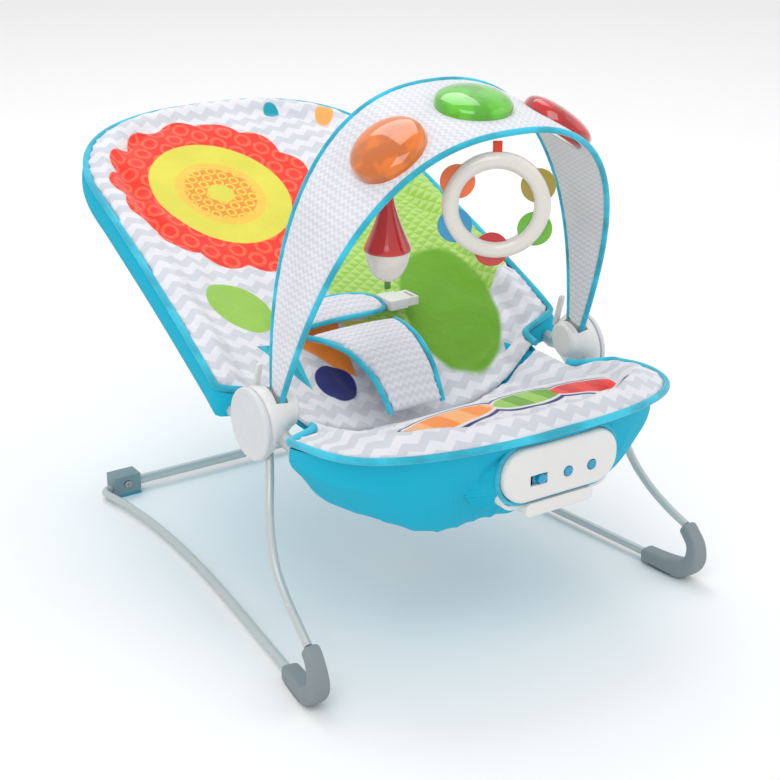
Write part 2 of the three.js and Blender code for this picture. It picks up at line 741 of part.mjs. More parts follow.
function barNormal(degrees, across) {
  const a = THREE.MathUtils.clamp(degrees, 1, 179);
  const along = barPoint(a + 0.5, across).sub(barPoint(a - 0.5, across));
  const over = barPoint(a, 1).sub(barPoint(a, 0));
  return along.cross(over).normalize();
}

// One layer of the bar between two depths, measured outwards from the ruled face.
function barLayer(outer, inner, margin, from = 0, to = 180, columns = 2, rows = 30) {
  const place = (depth) => (u, v) => {
    const angle = lerp(from, to, v);
    const width = barPoint(angle, 1).distanceTo(barPoint(angle, 0));
    const edge = Math.min(0.4, margin / width);
    const across = lerp(1 - edge, edge, u);
    return barPoint(angle, across).addScaledVector(barNormal(angle, across), depth);
  };
  return skin(columns, rows, place(outer), place(inner));
}

// The bow inside the fabric is a plain strip that keeps its width and runs on down into each hub.
function barBow() {
  const place = (depth) => (u, v) => {
    const angle = lerp(-12, 192, v);
    const width = barPoint(angle, 1).distanceTo(barPoint(angle, 0));
    const across = 0.5 + (0.5 - u) * (12 / width);
    return barPoint(angle, across).addScaledVector(barNormal(angle, across), depth);
  };
  return skin(1, 34, place(-1.9), place(-4.9));
}

function dome(index) {
  const degrees = DOME.at[index];
  const across = DOME.along[index];
  const profile = [[0, 0]];
  for (let i = 0; i <= 4; i++) {
    const a = rad(i * 22.5);
    profile.push([DOME.r * Math.cos(a) ** 0.8, 1.5 + DOME.height * Math.sin(a)]);
  }
  profile[profile.length - 1][0] = 0;
  const body = turned([[0, -DOME.sink], [DOME.r, -DOME.sink], ...profile.slice(1)], 20);
  const up = barNormal(degrees, across);
  const place = new THREE.Quaternion().setFromUnitVectors(V(0, 0, 1), up);
  const at = barPoint(degrees, across).addScaledVector(up, GAP);
  return carve(body.applyQuaternion(place).translate(at.x, at.y, at.z), [barLayer(GAP, -16, -6)]);
}

function buildToyBar() {
  add("toy_bar_bow", barBow(), FINISH.shell);
  add("toy_bar_cover_outer", barLayer(0, -1.6, 0.6), FINISH.pad);
  add("toy_bar_cover_inner", barLayer(-5.2, -6.8, 0.6), FINISH.pad);
  add("dome_orange", dome(0), FINISH.orange);
  add("dome_green", dome(1), FINISH.green);
  add("dome_red", dome(2), FINISH.red);
}

// ---------- hanging toys ----------
const ringCentre = V(RING.x, RING.y, RING.z);

// A piece modelled round the ring's middle, facing -Y, then turned about its strap and put in place.
const onRing = (geometry) => geometry.rotateZ(rad(RING.turn)).translate(...ringCentre.toArray());

// Where a disc's pin crosses the ring, in the ring's own frame.
const discAt = (degrees) => V(RING.major * Math.cos(rad(degrees)), 0, RING.major * Math.sin(rad(degrees)));

// A round piece about a disc's pin, between two distances behind the ring's middle.
function atDisc(degrees, radius, fromY, toY, sides = 16) {
  const { x, z } = discAt(degrees);
  return rod(V(x, fromY, z), V(x, toY, z), radius, sides);
}

// The ring is two half rings that meet in the middle and hold the discs and the strap's end between them.
function ringHalf(side) {
  const torus = new THREE.TorusGeometry(RING.major, RING.tube, 10, 26).rotateX(Math.PI / 2);
  const away = box(120, 40, 120, 0, -side * (20 - GAP / 2), 0);
  const room = DISC.thick / 2 + DISC.clear;
  const slots = DISC.at.map((a) => atDisc(a, DISC.r + DISC.clear, -room, room));
  const strapRoom = box(9.4, 2.4, 9, 0, 0, RING.major + RING.tube - 2);
  if (side > 0) {
    const sockets = DISC.at.map((a) => atDisc(a, DISC.pinR + GAP, 0, 5, 10));
    return carve(torus, [away, ...slots, ...sockets, strapRoom]);
  }
  const pins = DISC.at.map((a) => atDisc(a, DISC.pinR, -4, 4, 10));
  return carve(carve(torus, [away, ...slots, strapRoom]), [], pins);
}

function ringDisc(degrees) {
  const half = DISC.thick / 2;
  const hole = atDisc(degrees, DISC.pinR + GAP, -half - 1, half + 1, 10);
  return carve(atDisc(degrees, DISC.r, -half, half, 20), [hole]);
}

function ringStrap() {
  const low = RING.major + RING.tube - 5;
  const top = RING.hang - RING.z;
  return box(8.4, 1.6, top - low, 0, 0, (top + low) / 2);
}

function buildRingToy() {
  add("ring_front", onRing(ringHalf(-1)), FINISH.pearl);
  add("ring_back", onRing(ringHalf(1)), FINISH.pearl);
  const colours = [FINISH.olive, FINISH.orange, FINISH.blue, FINISH.red, FINISH.green];
  const names = ["olive", "orange", "blue", "red", "green"];
  DISC.at.forEach((degrees, i) => add("ring_disc_" + names[i], onRing(ringDisc(degrees)), colours[i]));
  add("ring_strap", onRing(ringStrap()), FINISH.red);
}

function buildMaraca() {
  const { x, y, neckZ, wideZ, r, lowZ, hang } = MARACA;
  const cap = turned(
    [
      [0, wideZ],
      [r - 0.6, wideZ],
      [r, wideZ + 1.2],
      [r - 2.5, wideZ + 8],
      [r * 0.55, wideZ + 26],
      [r * 0.32, wideZ + 42],
      [r * 0.22, neckZ - 6],
      [3.5, neckZ],
      [0, neckZ],
    ],
    22,
  );
  const height = wideZ - GAP - lowZ;
  const bulb = [[0, lowZ]];
  for (let i = 1; i <= 6; i++) {
    const a = rad(-90 + i * 15);
    bulb.push([(r - 1.6) * Math.cos(a), wideZ - GAP + height * Math.sin(a)]);
  }
  bulb.push([0, wideZ - GAP]);
  add("maraca_cap", cap.translate(x, y, 0), FINISH.red);
  add("maraca_bulb", turned(bulb, 22).translate(x, y, 0), FINISH.pearl);
  add("maraca_strap", box(7, 1.6, hang - neckZ - GAP, x, y, (hang + neckZ + GAP) / 2), FINISH.red);
  const tail = box(6, 2, 7, x, y, lowZ - 3.9);
  add("maraca_loop", tail, FINISH.green);
}

buildBase();
buildFrame();
buildSoftGoods();
buildUnit();
buildVibrationBox();
buildToyBar();
buildRingToy();
buildMaraca();

// The origin goes under the middle of the seat's box, on the floor.
const extent = new THREE.Box3().setFromObject(seat);
seat.position.set(-(extent.min.x + extent.max.x) / 2, -(extent.min.y + extent.max.y) / 2, -extent.min.z);

export default seat;
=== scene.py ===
"""The looks of a baby's bouncer seat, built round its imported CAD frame.

Lengths in the classes are millimetres on the maker's drawing: +X to the right seen from the foot end, +Y towards the
head, +Z up from the floor. `place` moves them into the frame and turns them into metres.
"""

import logging
import math
from dataclasses import dataclass
from enum import Enum
from functools import lru_cache
from typing import Sequence

import bpy
import numpy as np
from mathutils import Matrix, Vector


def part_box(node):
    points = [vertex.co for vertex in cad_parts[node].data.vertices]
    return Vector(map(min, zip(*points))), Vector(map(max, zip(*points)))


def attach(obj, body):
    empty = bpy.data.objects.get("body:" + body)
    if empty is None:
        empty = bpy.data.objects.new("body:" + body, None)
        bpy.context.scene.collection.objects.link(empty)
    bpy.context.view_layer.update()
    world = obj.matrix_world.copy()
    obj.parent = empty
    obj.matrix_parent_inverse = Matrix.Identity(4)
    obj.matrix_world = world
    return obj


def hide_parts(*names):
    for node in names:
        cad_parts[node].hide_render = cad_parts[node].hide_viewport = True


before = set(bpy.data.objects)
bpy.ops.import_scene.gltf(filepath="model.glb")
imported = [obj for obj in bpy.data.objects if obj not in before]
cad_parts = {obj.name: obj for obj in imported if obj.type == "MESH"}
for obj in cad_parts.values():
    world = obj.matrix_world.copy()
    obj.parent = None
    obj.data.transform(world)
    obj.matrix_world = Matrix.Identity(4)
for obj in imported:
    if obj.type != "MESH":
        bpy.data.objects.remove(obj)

Array = np.ndarray
Colour = tuple[float, float, float]
Point = tuple[float, float, float]
Pairs = tuple[tuple[float, float], ...]

LOG = logging.getLogger("bouncer")
MM = 0.001
HUB_Y = 100.0  # where both hubs stand on the drawing
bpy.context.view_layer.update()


def drawing_shift() -> float:
    """How far the drawing's fore-and-aft zero lies from the frame's, in millimetres."""
    low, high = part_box("hub_cover_left")
    return (low.y + high.y) / 2 / MM - HUB_Y


SHIFT_Y = drawing_shift()


def place(points: Array) -> Array:
    """Drawing millimetres into metres in the frame."""
    return (np.asarray(points, float) + (0.0, SHIFT_Y, 0.0)) * MM


def srgb(red: int, green: int, blue: int) -> Colour:
    """A colour given in the usual 0 to 255 steps, as linear light."""
    share = np.array([red, green, blue]) / 255
    linear = np.where(share <= 0.04045, share / 12.92, ((share + 0.055) / 1.055) ** 2.4)
    return float(linear[0]), float(linear[1]), float(linear[2])


# ---------------------------------------------------------------- curves


def lerp(first: Array | float, last: Array | float, share: Array | float) -> Array:
    """The place between two values at a share from 0 to 1."""
    return np.asarray(first) + (np.asarray(last) - np.asarray(first)) * np.asarray(share)


def ease(value: Array, low: float, high: float) -> Array:
    """0 below low, 1 above high, and a smooth S between."""
    share = np.clip((np.asarray(value, float) - low) / (high - low), 0, 1)
    return share * share * (3 - 2 * share)


def unit(vectors: Array) -> Array:
    """The vectors at length one."""
    return vectors / np.maximum(np.linalg.norm(vectors, axis=-1, keepdims=True), 1e-12)


def smooth_line(points: Sequence[Sequence[float]], per_span: int = 24) -> Array:
    """A Catmull-Rom line through the points: each span is the cubic whose end slopes are half the step between the
    neighbours on either side, and the first and last points are carried on by one more equal step.

    Args:
        points: the points it passes, in any number of dimensions.
        per_span: how many samples each span gets.

    Returns:
        The samples, one to a row.
    """
    p = np.asarray(points, float)
    p = np.vstack([2 * p[0] - p[1], p, 2 * p[-1] - p[-2]])
    t = np.linspace(0, 1, per_span, endpoint=False)[None, :, None]
    a, b, c, d = (p[i : len(p) - 3 + i][:, None] for i in range(4))
    spans = 0.5 * (2 * b + (c - a) * t + (2 * a - 5 * b + 4 * c - d) * t**2 + (3 * b - a - 3 * c + d) * t**3)
    return np.vstack([spans.reshape(-1, p.shape[1]), p[-2]])


def even(line: Array, count: int, closed: bool = False) -> Array:
    """The line again with count samples at equal steps along it; a closed one doesn't repeat its first sample."""
    if closed:
        line = np.vstack([line, line[:1]])
    run = np.concatenate([[0], np.cumsum(np.linalg.norm(np.diff(line, axis=0), axis=1))])
    at = np.linspace(0, run[-1], count + 1)[:-1] if closed else np.linspace(0, run[-1], count)
    return np.stack([np.interp(at, run, line[:, k]) for k in range(line.shape[1])], -1)


@lru_cache(maxsize=None)
def profile_samples(pairs: Pairs) -> Array:
    """The smooth line through [y, z] pairs, sampled once."""
    return smooth_line(pairs, 40)


def through(pairs: Pairs, y: Array) -> Array:
    """The height at y of the smooth line through [y, z] pairs."""
    samples = profile_samples(pairs)
    return np.interp(y, samples[:, 0], samples[:, 1])


def superellipse(half_width: float, half_height: float, power: float, count: int) -> Array:
    """A closed section whose points satisfy |x/w|^power + |y/h|^power = 1: an ellipse at 2 and boxier above it."""
    turn = np.linspace(0, 2 * np.pi, count, endpoint=False)
    c, s = np.cos(turn), np.sin(turn)
    x = half_width * np.sign(c) * np.abs(c) ** (2 / power)
    y = half_height * np.sign(s) * np.abs(s) ** (2 / power)
    return np.stack([x, y], -1)


# ---------------------------------------------------------------- meshes


def signed_volume(points: Array, triangles: Array) -> float:
    """Six times the volume that the triangles enclose, below zero where they face inwards."""
    a, b, c = (points[triangles[:, k]] for k in range(3))
    return float(np.einsum("ij,ij->i", a, np.cross(b, c)).sum())


def make_piece(name: str, points: Array, quads: Array, fans: Array, cloth: Array | None = None) -> bpy.types.Object:
    """A smooth-shaded mesh object from drawing points, turned to face outwards.

    Args:
        name: the piece's name.
        points: drawing millimetres, one point to a row.
        quads: four point numbers to a row.
        fans: three point numbers to a row.
        cloth: where each point lies on the flat cloth, in millimetres, for finishes that follow the surface.

    Returns:
        The object, at the origin.
    """
    mesh = bpy.data.meshes.new(name)
    spots = place(points)
    mesh.from_pydata(spots.tolist(), [], quads.tolist() + fans.tolist())
    halves = np.vstack([quads[:, [0, 1, 2]], quads[:, [0, 2, 3]], fans]) if len(fans) else None
    if halves is None:
        halves = np.vstack([quads[:, [0, 1, 2]], quads[:, [0, 2, 3]]])
    if signed_volume(spots - spots.mean(0), halves) < 0:
        mesh.flip_normals()
    if cloth is not None:
        layer = mesh.attributes.new("cloth", "FLOAT_VECTOR", "POINT")
        flat = np.column_stack([cloth, np.zeros(len(cloth))])
        layer.data.foreach_set("vector", flat.astype(np.float32).ravel())
    mesh.polygons.foreach_set("use_smooth", [True] * len(mesh.polygons))
    mesh.set_sharp_from_angle(angle=math.radians(42))
    piece = bpy.data.objects.new(name, mesh)
    bpy.context.scene.collection.objects.link(piece)
    return piece


def loft(name: str, rings: Array, cloth: Array | None = None, closed: bool = False) -> bpy.types.Object:
    """A closed piece through closed rings of points: each ring is joined to the next, and the two end rings are
    drawn in to their own middles, unless the rings themselves close into a loop.

    Args:
        name: the piece's name.
        rings: drawing millimetres, ring by ring.
        cloth: the flat-cloth place of each point, ring by ring.
        closed: whether the last ring joins the first.

    Returns:
        The object.
    """
    m, n, _ = rings.shape
    last = m if closed else m - 1
    i = np.arange(last)[:, None]
    j = np.arange(n)[None]
    k = (j + 1) % n
    over = ((i + 1) % m) * n
    quads = np.stack([i * n + j, i * n + k, over + k, over + j], -1).reshape(-1, 4)
    points = rings.reshape(-1, 3)
    flat = None if cloth is None else cloth.reshape(-1, 2)
    if closed:
        return make_piece(name, points, quads, np.zeros((0, 3), int), flat)
    j, k = j[0], k[0]
    poles = np.stack([rings[0].mean(0), rings[-1].mean(0)])
    fans = np.vstack([
        np.stack([np.full(n, m * n), k, j], -1),
        np.stack([np.full(n, m * n + 1), (m - 1) * n + j, (m - 1) * n + k], -1),
    ])
    if flat is not None:
        flat = np.vstack([flat, cloth[0].mean(0), cloth[-1].mean(0)])
    return make_piece(name, np.vstack([points, poles]), quads, fans, flat)


def swept(
    name: str, path: Array, section: Array, up: Point, grow: Array | float = 1.0, cloth: bool = False
) -> bpy.types.Object:
    """A section carried along a path: at each place the section's first axis points square across both the path
    and `up`, its second square to both, and `grow` scales it.

    Args:
        name: the piece's name.
        path: the places it passes.
        section: the section's points, as pairs.
        up: a direction that the path never follows.
        grow: the section's size along the path.
        cloth: whether to lay flat-cloth places on it, round by along.

    Returns:
        The object.
    """
    ahead = unit(np.gradient(path, axis=0))
    side = unit(np.cross(ahead, np.asarray(up, float)))
    lift = np.cross(side, ahead)
    size = np.broadcast_to(np.asarray(grow, float), (len(path),))[:, None, None]
    rings = path[:, None] + size * (section[None, :, :1] * side[:, None] + section[None, :, 1:] * lift[:, None])
    if not cloth:
        return loft(name, rings)
    run = np.concatenate([[0], np.cumsum(np.linalg.norm(np.diff(path, axis=0), axis=1))])
    round_it = np.linspace(0, 1, len(section)) * 2 * np.abs(section).max() * np.pi
    flat = np.stack(np.broadcast_arrays(round_it[None], run[:, None]), -1)
    return loft(name, rings, flat)


def tube(name: str, path: Array, radius: float, up: Point, sides: int = 20, cloth: bool = False) -> bpy.types.Object:
    """A round tube along a path."""
    return swept(name, path, superellipse(radius, radius, 2, sides), up, cloth=cloth)


def turned_rings(profile: Sequence[Sequence[float]], sides: int = 64) -> Array:
    """Rings about +Z for a turned piece, from [radius, height] pairs; no radius reaches the axis."""
    p = np.asarray(profile, float)
    turn = np.linspace(0, 2 * np.pi, sides, endpoint=False)
    around = np.stack([np.cos(turn), np.sin(turn), np.zeros(sides)], -1)
    return p[:, :1, None] * around[None] + p[:, 1:, None] * np.array([0, 0, 1.0])


def stand(rings: Array, at: Sequence[float], up: Sequence[float], across: Sequence[float] = (1, 0, 0)) -> Array:
    """Rings modelled about +Z, moved so that their foot is at a place and their axis points along `up`."""
    z = unit(np.asarray(up, float))
    x = unit(np.asarray(across, float) - z * np.dot(across, z))
    return rings @ np.stack([x, np.cross(z, x), z]) + np.asarray(at, float)


def keep_result(piece: bpy.types.Object) -> bpy.types.Object:
    """Replaces a piece's mesh by what its modifiers make of it, and takes them off."""
    graph = bpy.context.evaluated_depsgraph_get()
    made = bpy.data.meshes.new_from_object(piece.evaluated_get(graph))
    old = piece.data
    piece.modifiers.clear()
    piece.data = made
    made.name = piece.name
    bpy.data.meshes.remove(old)
    return piece


def cut(piece: bpy.types.Object, cutters: Sequence[bpy.types.Object]) -> bpy.types.Object:
    """Takes the cutters out of a piece and removes them."""
    for cutter in cutters:
        boolean = piece.modifiers.new("cut", "BOOLEAN")
        boolean.operation = "DIFFERENCE"
        boolean.solver = "EXACT"
        boolean.object = cutter
    keep_result(piece)
    for cutter in cutters:
        bpy.data.objects.remove(cutter)
    piece.data.polygons.foreach_set("use_smooth", [True] * len(piece.data.polygons))
    piece.data.set_sharp_from_angle(angle=math.radians(42))
    return piece


def block(name: str, low: Point, high: Point) -> bpy.types.Object:
    """A plain box between two drawing corners, for use as a cutter."""
    lo, hi = np.asarray(low, float), np.asarray(high, float)
    ring = np.array([[0, 0], [1, 0], [1, 1], [0, 1]], float)
    rings = np.stack([np.column_stack([lo[:2] + ring * (hi - lo)[:2], np.full(4, z)]) for z in (lo[2], hi[2])])
    return loft(name, rings)


def vertices_of(piece: bpy.types.Object) -> Array:
    """A piece's vertices in drawing millimetres."""
    spots = np.empty(len(piece.data.vertices) * 3, np.float32)
    piece.data.vertices.foreach_get("co", spots)
    return spots.reshape(-1, 3).astype(float) / MM - (0.0, SHIFT_Y, 0.0)


def set_vertices(piece: bpy.types.Object, points: Array) -> None:
    """Puts drawing millimetres back into a piece's vertices."""
    piece.data.vertices.foreach_set("co", place(points).astype(np.float32).ravel())
    piece.data.update()


def softened(name: str, node: str, radius: float, angle: float = 35.0) -> bpy.types.Object:
    """A copy of a CAD node with its loose triangles merged and its sharp edges rounded.

    Args:
        name: the new piece's name.
        node: the CAD node it is made from.
        radius: how far each edge is rounded, in millimetres.
        angle: the bend, in degrees, from which an edge counts as sharp.

    Returns:
        The new piece.
    """
    piece = bpy.data.objects.new(name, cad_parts[node].data.copy())
    bpy.context.scene.collection.objects.link(piece)
    piece.data.materials.clear()
    weld = piece.modifiers.new("weld", "WELD")
    weld.merge_threshold = 0.00002
    flat = piece.modifiers.new("flat", "DECIMATE")
    flat.decimate_type = "DISSOLVE"
    flat.angle_limit = math.radians(1)
    rounding = piece.modifiers.new("rounding", "BEVEL")
    rounding.width = radius * MM
    rounding.segments = 3
    rounding.limit_method = "ANGLE"
    rounding.angle_limit = math.radians(angle)
    keep_result(piece)
    if piece.data.has_custom_normals:
        piece.data.attributes.remove(piece.data.attributes["custom_normal"])
    piece.data.polygons.foreach_set("use_smooth", [True] * len(piece.data.polygons))
    piece.data.set_sharp_from_angle(angle=math.radians(angle))
    return piece


# ---------------------------------------------------------------- finishes


class Shader:
    """A finish's node tree while it is being built, round one Principled surface."""

    def __init__(self, name: str) -> None:
        """Starts a material of that name."""
        self.material = bpy.data.materials.new(name)
        self.material.use_nodes = True
        self.tree = self.material.node_tree
        self.surface = self.tree.nodes["Principled BSDF"]
        self.object_place = self.add("ShaderNodeTexCoord").outputs["Object"]
        drawing = self.add("ShaderNodeMapping")
        drawing.inputs["Scale"].default_value = (1 / MM,) * 3
        drawing.inputs["Location"].default_value = (0, -SHIFT_Y, 0)
        self.feed(drawing.inputs["Vector"], self.object_place)
        self.where = drawing.outputs["Vector"]

    def add(self, kind: str, **settings: object) -> bpy.types.Node:
        """A new node with its settings."""
        node = self.tree.nodes.new(kind)
        for key, value in settings.items():
            setattr(node, key, value)
        return node

    def feed(self, socket: bpy.types.NodeSocket, value: object) -> None:
        """Links a socket to another, or sets its own value."""
        if isinstance(value, bpy.types.NodeSocket):
            self.tree.links.new(value, socket)
        elif socket.type == "RGBA":
            socket.default_value = (*value, 1.0)
        else:
            socket.default_value = value

    def sum(self, operation: str, *values: object) -> bpy.types.NodeSocket:
        """A Math node's result."""
        node = self.add("ShaderNodeMath", operation=operation)
        for socket, value in zip(node.inputs, values):
            self.feed(socket, value)
        return node.outputs[0]

    def vector(self, operation: str, *values: object) -> bpy.types.NodeSocket:
        """A Vector Math node's result, a number for a length or a dot product."""
        node = self.add("ShaderNodeVectorMath", operation=operation)
        for socket, value in zip(node.inputs, values):
            self.feed(socket, value)
        return node.outputs["Value" if operation in ("LENGTH", "DOT_PRODUCT") else "Vector"]

    def parts(self, vector: bpy.types.NodeSocket) -> tuple[bpy.types.NodeSocket, ...]:
        """A vector's three numbers."""
        node = self.add("ShaderNodeSeparateXYZ")
        self.feed(node.inputs[0], vector)
        return tuple(node.outputs)

    def step(self, value: object, low: float, high: float, first: float = 0.0, last: float = 1.0) -> object:
        """A smooth step from `first` at low to `last` at high."""
        node = self.add("ShaderNodeMapRange", interpolation_type="SMOOTHSTEP")
        for socket, item in zip(node.inputs, (value, low, high, first, last)):
            self.feed(socket, item)
        return node.outputs["Result"]

    def mix(self, share: object, first: object, second: object) -> bpy.types.NodeSocket:
        """Two colours mixed by a share."""
        node = self.add("ShaderNodeMix", data_type="RGBA")
        for index, value in ((0, share), (6, first), (7, second)):
            self.feed(node.inputs[index], value)
        return node.outputs[2]

    def noise(self, scale: float, detail: float = 2.0, where: object = None) -> bpy.types.NodeSocket:
        """Soft noise with `scale` lumps to a millimetre."""
        node = self.add("ShaderNodeTexNoise")
        self.feed(node.inputs["Vector"], self.where if where is None else where)
        self.feed(node.inputs["Scale"], scale)
        self.feed(node.inputs["Detail"], detail)
        return node.outputs["Fac"]

    def local(self, centre: Sequence[float], turn: float, size: Sequence[float]) -> bpy.types.NodeSocket:
        """The drawing place measured from a centre, in a turned frame, in units of `size`, flattened in height."""
        node = self.add("ShaderNodeMapping", vector_type="TEXTURE")
        self.feed(node.inputs["Vector"], self.where)
        self.feed(node.inputs["Location"], (*centre, 0.0))
        self.feed(node.inputs["Rotation"], (0.0, 0.0, math.radians(turn)))
        self.feed(node.inputs["Scale"], (*size, 1e6))
        return node.outputs["Vector"]

    def bump(self, height: object, strength: float, distance: float) -> None:
        """Lifts the surface's light by a height, on top of any lift it already has."""
        node = self.add("ShaderNodeBump")
        self.feed(node.inputs["Strength"], strength)
        self.feed(node.inputs["Distance"], distance * MM)
        self.feed(node.inputs["Height"], height)
        socket = self.surface.inputs["Normal"]
        if socket.is_linked:
            self.feed(node.inputs["Normal"], socket.links[0].from_socket)
        self.feed(socket, node.outputs["Normal"])

    def put(self, **values: object) -> None:
        """Sets the surface's sockets by name, with _ for a space."""
        for name, value in values.items():
            self.feed(self.surface.inputs[name.replace("_", " ")], value)


@dataclass(frozen=True)
class Finish:
    """What every finish has: a name, a colour and a roughness."""

    name: str
    colour: Colour
    roughness: float = 0.45

    def dress(self, shader: Shader) -> None:
        """Builds the nodes."""
        raise NotImplementedError

    def material(self) -> bpy.types.Material:
        """The finish's material, made once."""
        found = bpy.data.materials.get(self.name)
        if found is None:
            shader = Shader(self.name)
            self.dress(shader)
            found = shader.material
        return found


@dataclass(frozen=True)
class Moulded(Finish):
    """Injection-moulded plastic or rubber: fine spark-eroded grain, cloudy tone and a slightly uneven gloss."""

    grain: float = 0.12
    tone: float = 0.06
    coat: float = 0.0

    def dress(self, shader: Shader) -> None:
        """Grain from fine noise, tone and gloss from broad noise."""
        cloud = shader.noise(0.02, 3)
        darker = tuple(c * (1 - self.tone) for c in self.colour)
        shader.put(Base_Color=shader.mix(cloud, self.colour, darker))
        rough = shader.step(shader.noise(0.08, 4), 0.3, 0.7, self.roughness - 0.04, self.roughness + 0.06)
        shader.put(Roughness=rough, Coat_Weight=self.coat, Coat_Roughness=0.08)
        shader.bump(shader.noise(1.8, 3), self.grain, 0.12)


@dataclass(frozen=True)
class Glazed(Finish):
    """Clear tinted plastic over a moulded relief."""

    clear: float = 0.3

    def dress(self, shader: Shader) -> None:
        """A tint that thickens in broad soft patches, a hard gloss and a trace of moulding ripple."""
        deep = tuple(c * 0.72 for c in self.colour)
        patch = shader.step(shader.noise(0.045, 2), 0.42, 0.6)
        shader.put(Base_Color=shader.mix(patch, self.colour, deep), Roughness=self.roughness)
        shader.put(Transmission_Weight=self.clear, Coat_Weight=1.0, Coat_Roughness=0.03, IOR=1.46)
        shader.bump(shader.noise(0.06, 1), 0.25, 0.8)


@dataclass(frozen=True)
class Painted(Finish):
    """Powder-coated wire or plated steel: a trace of orange peel, and bright scuffs."""

    metal: float = 0.35

    def dress(self, shader: Shader) -> None:
        """Peel from noise a few millimetres across; scuffs where stretched noise peaks."""
        stretched = shader.vector("MULTIPLY", shader.where, (0.5, 0.06, 0.5))
        scuff = shader.step(shader.noise(1.0, 4, stretched), 0.62, 0.74)
        bright = tuple(min(1.0, c * 1.18) for c in self.colour)
        shader.put(Base_Color=shader.mix(scuff, self.colour, bright), Metallic=self.metal)
        shader.put(Roughness=shader.step(scuff, 0, 1, self.roughness, self.roughness + 0.12))
        shader.bump(shader.noise(0.35, 2), 0.12, 0.2)


class Weave:
    """Builds a plain weave: two sine ridges crossing at right angles, thread over thread."""

    def __init__(self, pitch: float, depth: float) -> None:
        """A weave of that thread pitch and depth, in millimetres."""
        self.pitch = pitch
        self.depth = depth

    def lay(self, shader: Shader, across: object, along: object) -> bpy.types.NodeSocket:
        """Puts the weave's bump on the surface and returns its height from 0 to 1."""
        turn = 2 * math.pi / self.pitch
        warp = shader.sum("SINE", shader.sum("MULTIPLY", across, turn))
        weft = shader.sum("SINE", shader.sum("MULTIPLY", along, turn))
        height = shader.sum("MULTIPLY_ADD", warp, weft, 1.0)
        shader.bump(height, 0.35, self.depth)
        return shader.sum("MULTIPLY", height, 0.5)


@dataclass(frozen=True)
class Woven(Finish):
    """Plain dyed cloth or tape: a weave, a sheen, soft creases with painted shade in their hollows and painted
    highlight on their ridges, and threads that vary in tone.
    """

    pitch: float = 1.6
    crease: float = 0.6
    on_cloth: bool = False

    def dress(self, shader: Shader) -> None:
        """Weave on the piece's own flat-cloth places, or on the drawing's; creases from stretched noise, with painted
        shade in their hollows and painted highlight on their ridges.
        """
        if self.on_cloth:
            flat = shader.add("ShaderNodeAttribute", attribute_name="cloth").outputs["Vector"]
            across, along, _ = shader.parts(flat)
        else:
            x, y, z = shader.parts(shader.where)
            across, along = x, shader.sum("ADD", y, z)
        crease = shader.noise(0.03, 3, shader.vector("MULTIPLY", shader.where, (1.0, 0.35, 1.6)))
        shader.bump(crease, self.crease, 4.0)
        thread = Weave(self.pitch, 0.18).lay(shader, across, along)
        # painted shade: the cloth's colour darkened for the crease hollows, also used for the thread tone
        crease_shade_and_thread_tone = tuple(c * 0.72 for c in self.colour)
        # painted highlight: the cloth's colour lightened for the crease ridges
        light = tuple(min(1.0, c * 1.12 + 0.01) for c in self.colour)
        # painted shade in the crease hollows and painted highlight on their ridges, following the crease bump's
        # height
        base = shader.mix(shader.step(crease, 0.35, 0.68), crease_shade_and_thread_tone, light)
        shader.put(Base_Color=shader.mix(shader.sum("MULTIPLY", thread, 0.18), base, crease_shade_and_thread_tone))
        shader.put(Roughness=self.roughness, Sheen_Weight=0.35, Sheen_Roughness=0.4)


class Fill(Enum):
    """What a printed mark is filled with."""

    PLAIN = "plain"
    LATTICE = "lattice"
    TRIANGLES = "triangles"
    STRIPES = "stripes"


@dataclass(frozen=True)
class Mark:
    """One printed shape on the cloth, in drawing millimetres seen from above."""

    colour: Colour
    centre: tuple[float, float] = (0.0, 0.0)
    size: tuple[float, float] = (10.0, 10.0)
    turn: float = 0.0
    soft: float = 0.7
    fill: Fill = Fill.PLAIN
    second: Colour = (1.0, 1.0, 1.0)
    pitch: float = 10.0

    def cover(self, shader: Shader) -> bpy.types.NodeSocket:
        """1 inside the shape and 0 outside."""
        raise NotImplementedError

    def ink(self, shader: Shader) -> object:
        """The shape's colour, with its filling."""
        if self.fill is Fill.PLAIN:
            return self.colour
        x, y, _ = shader.parts(shader.local((0, 0), self.turn, (self.pitch, self.pitch)))
        if self.fill is Fill.LATTICE:
            cell = shader.vector("FRACTION", shader.local((0, 0), 45, (self.pitch, self.pitch)))
            reach = shader.vector("LENGTH", shader.vector("SUBTRACT", cell, (0.5, 0.5, 0.0)))
            hit = shader.step(shader.sum("ABSOLUTE", shader.sum("SUBTRACT", reach, 0.36)), 0.1, 0.06)
        elif self.fill is Fill.TRIANGLES:
            both = shader.sum("ADD", shader.sum("FRACT", x), shader.sum("FRACT", y))
            hit = shader.step(both, 0.95, 1.05)
        else:
            hit = shader.step(shader.sum("PINGPONG", x, 0.5), 0.22, 0.28)
        return shader.mix(hit, self.colour, self.second)


@dataclass(frozen=True)
class Oval(Mark):
    """An ellipse, whose edge may run in scallops: its reach is the distance from its centre in units of its size,
    plus a cosine of the bearing."""

    scallops: int = 0
    depth: float = 0.0

    def cover(self, shader: Shader) -> bpy.types.NodeSocket:
        """1 inside the shape and 0 outside."""
        local = shader.local(self.centre, self.turn, self.size)
        reach = shader.vector("LENGTH", local)
        if self.scallops:
            x, y, _ = shader.parts(local)
            bearing = shader.sum("MULTIPLY", shader.sum("ARCTAN2", y, x), self.scallops)
            wave = shader.sum("ABSOLUTE", shader.sum("SINE", bearing))
            reach = shader.sum("MULTIPLY_ADD", wave, -self.depth, reach)
        edge = self.soft / min(self.size)
        return shader.step(reach, 1 + edge, 1 - edge)


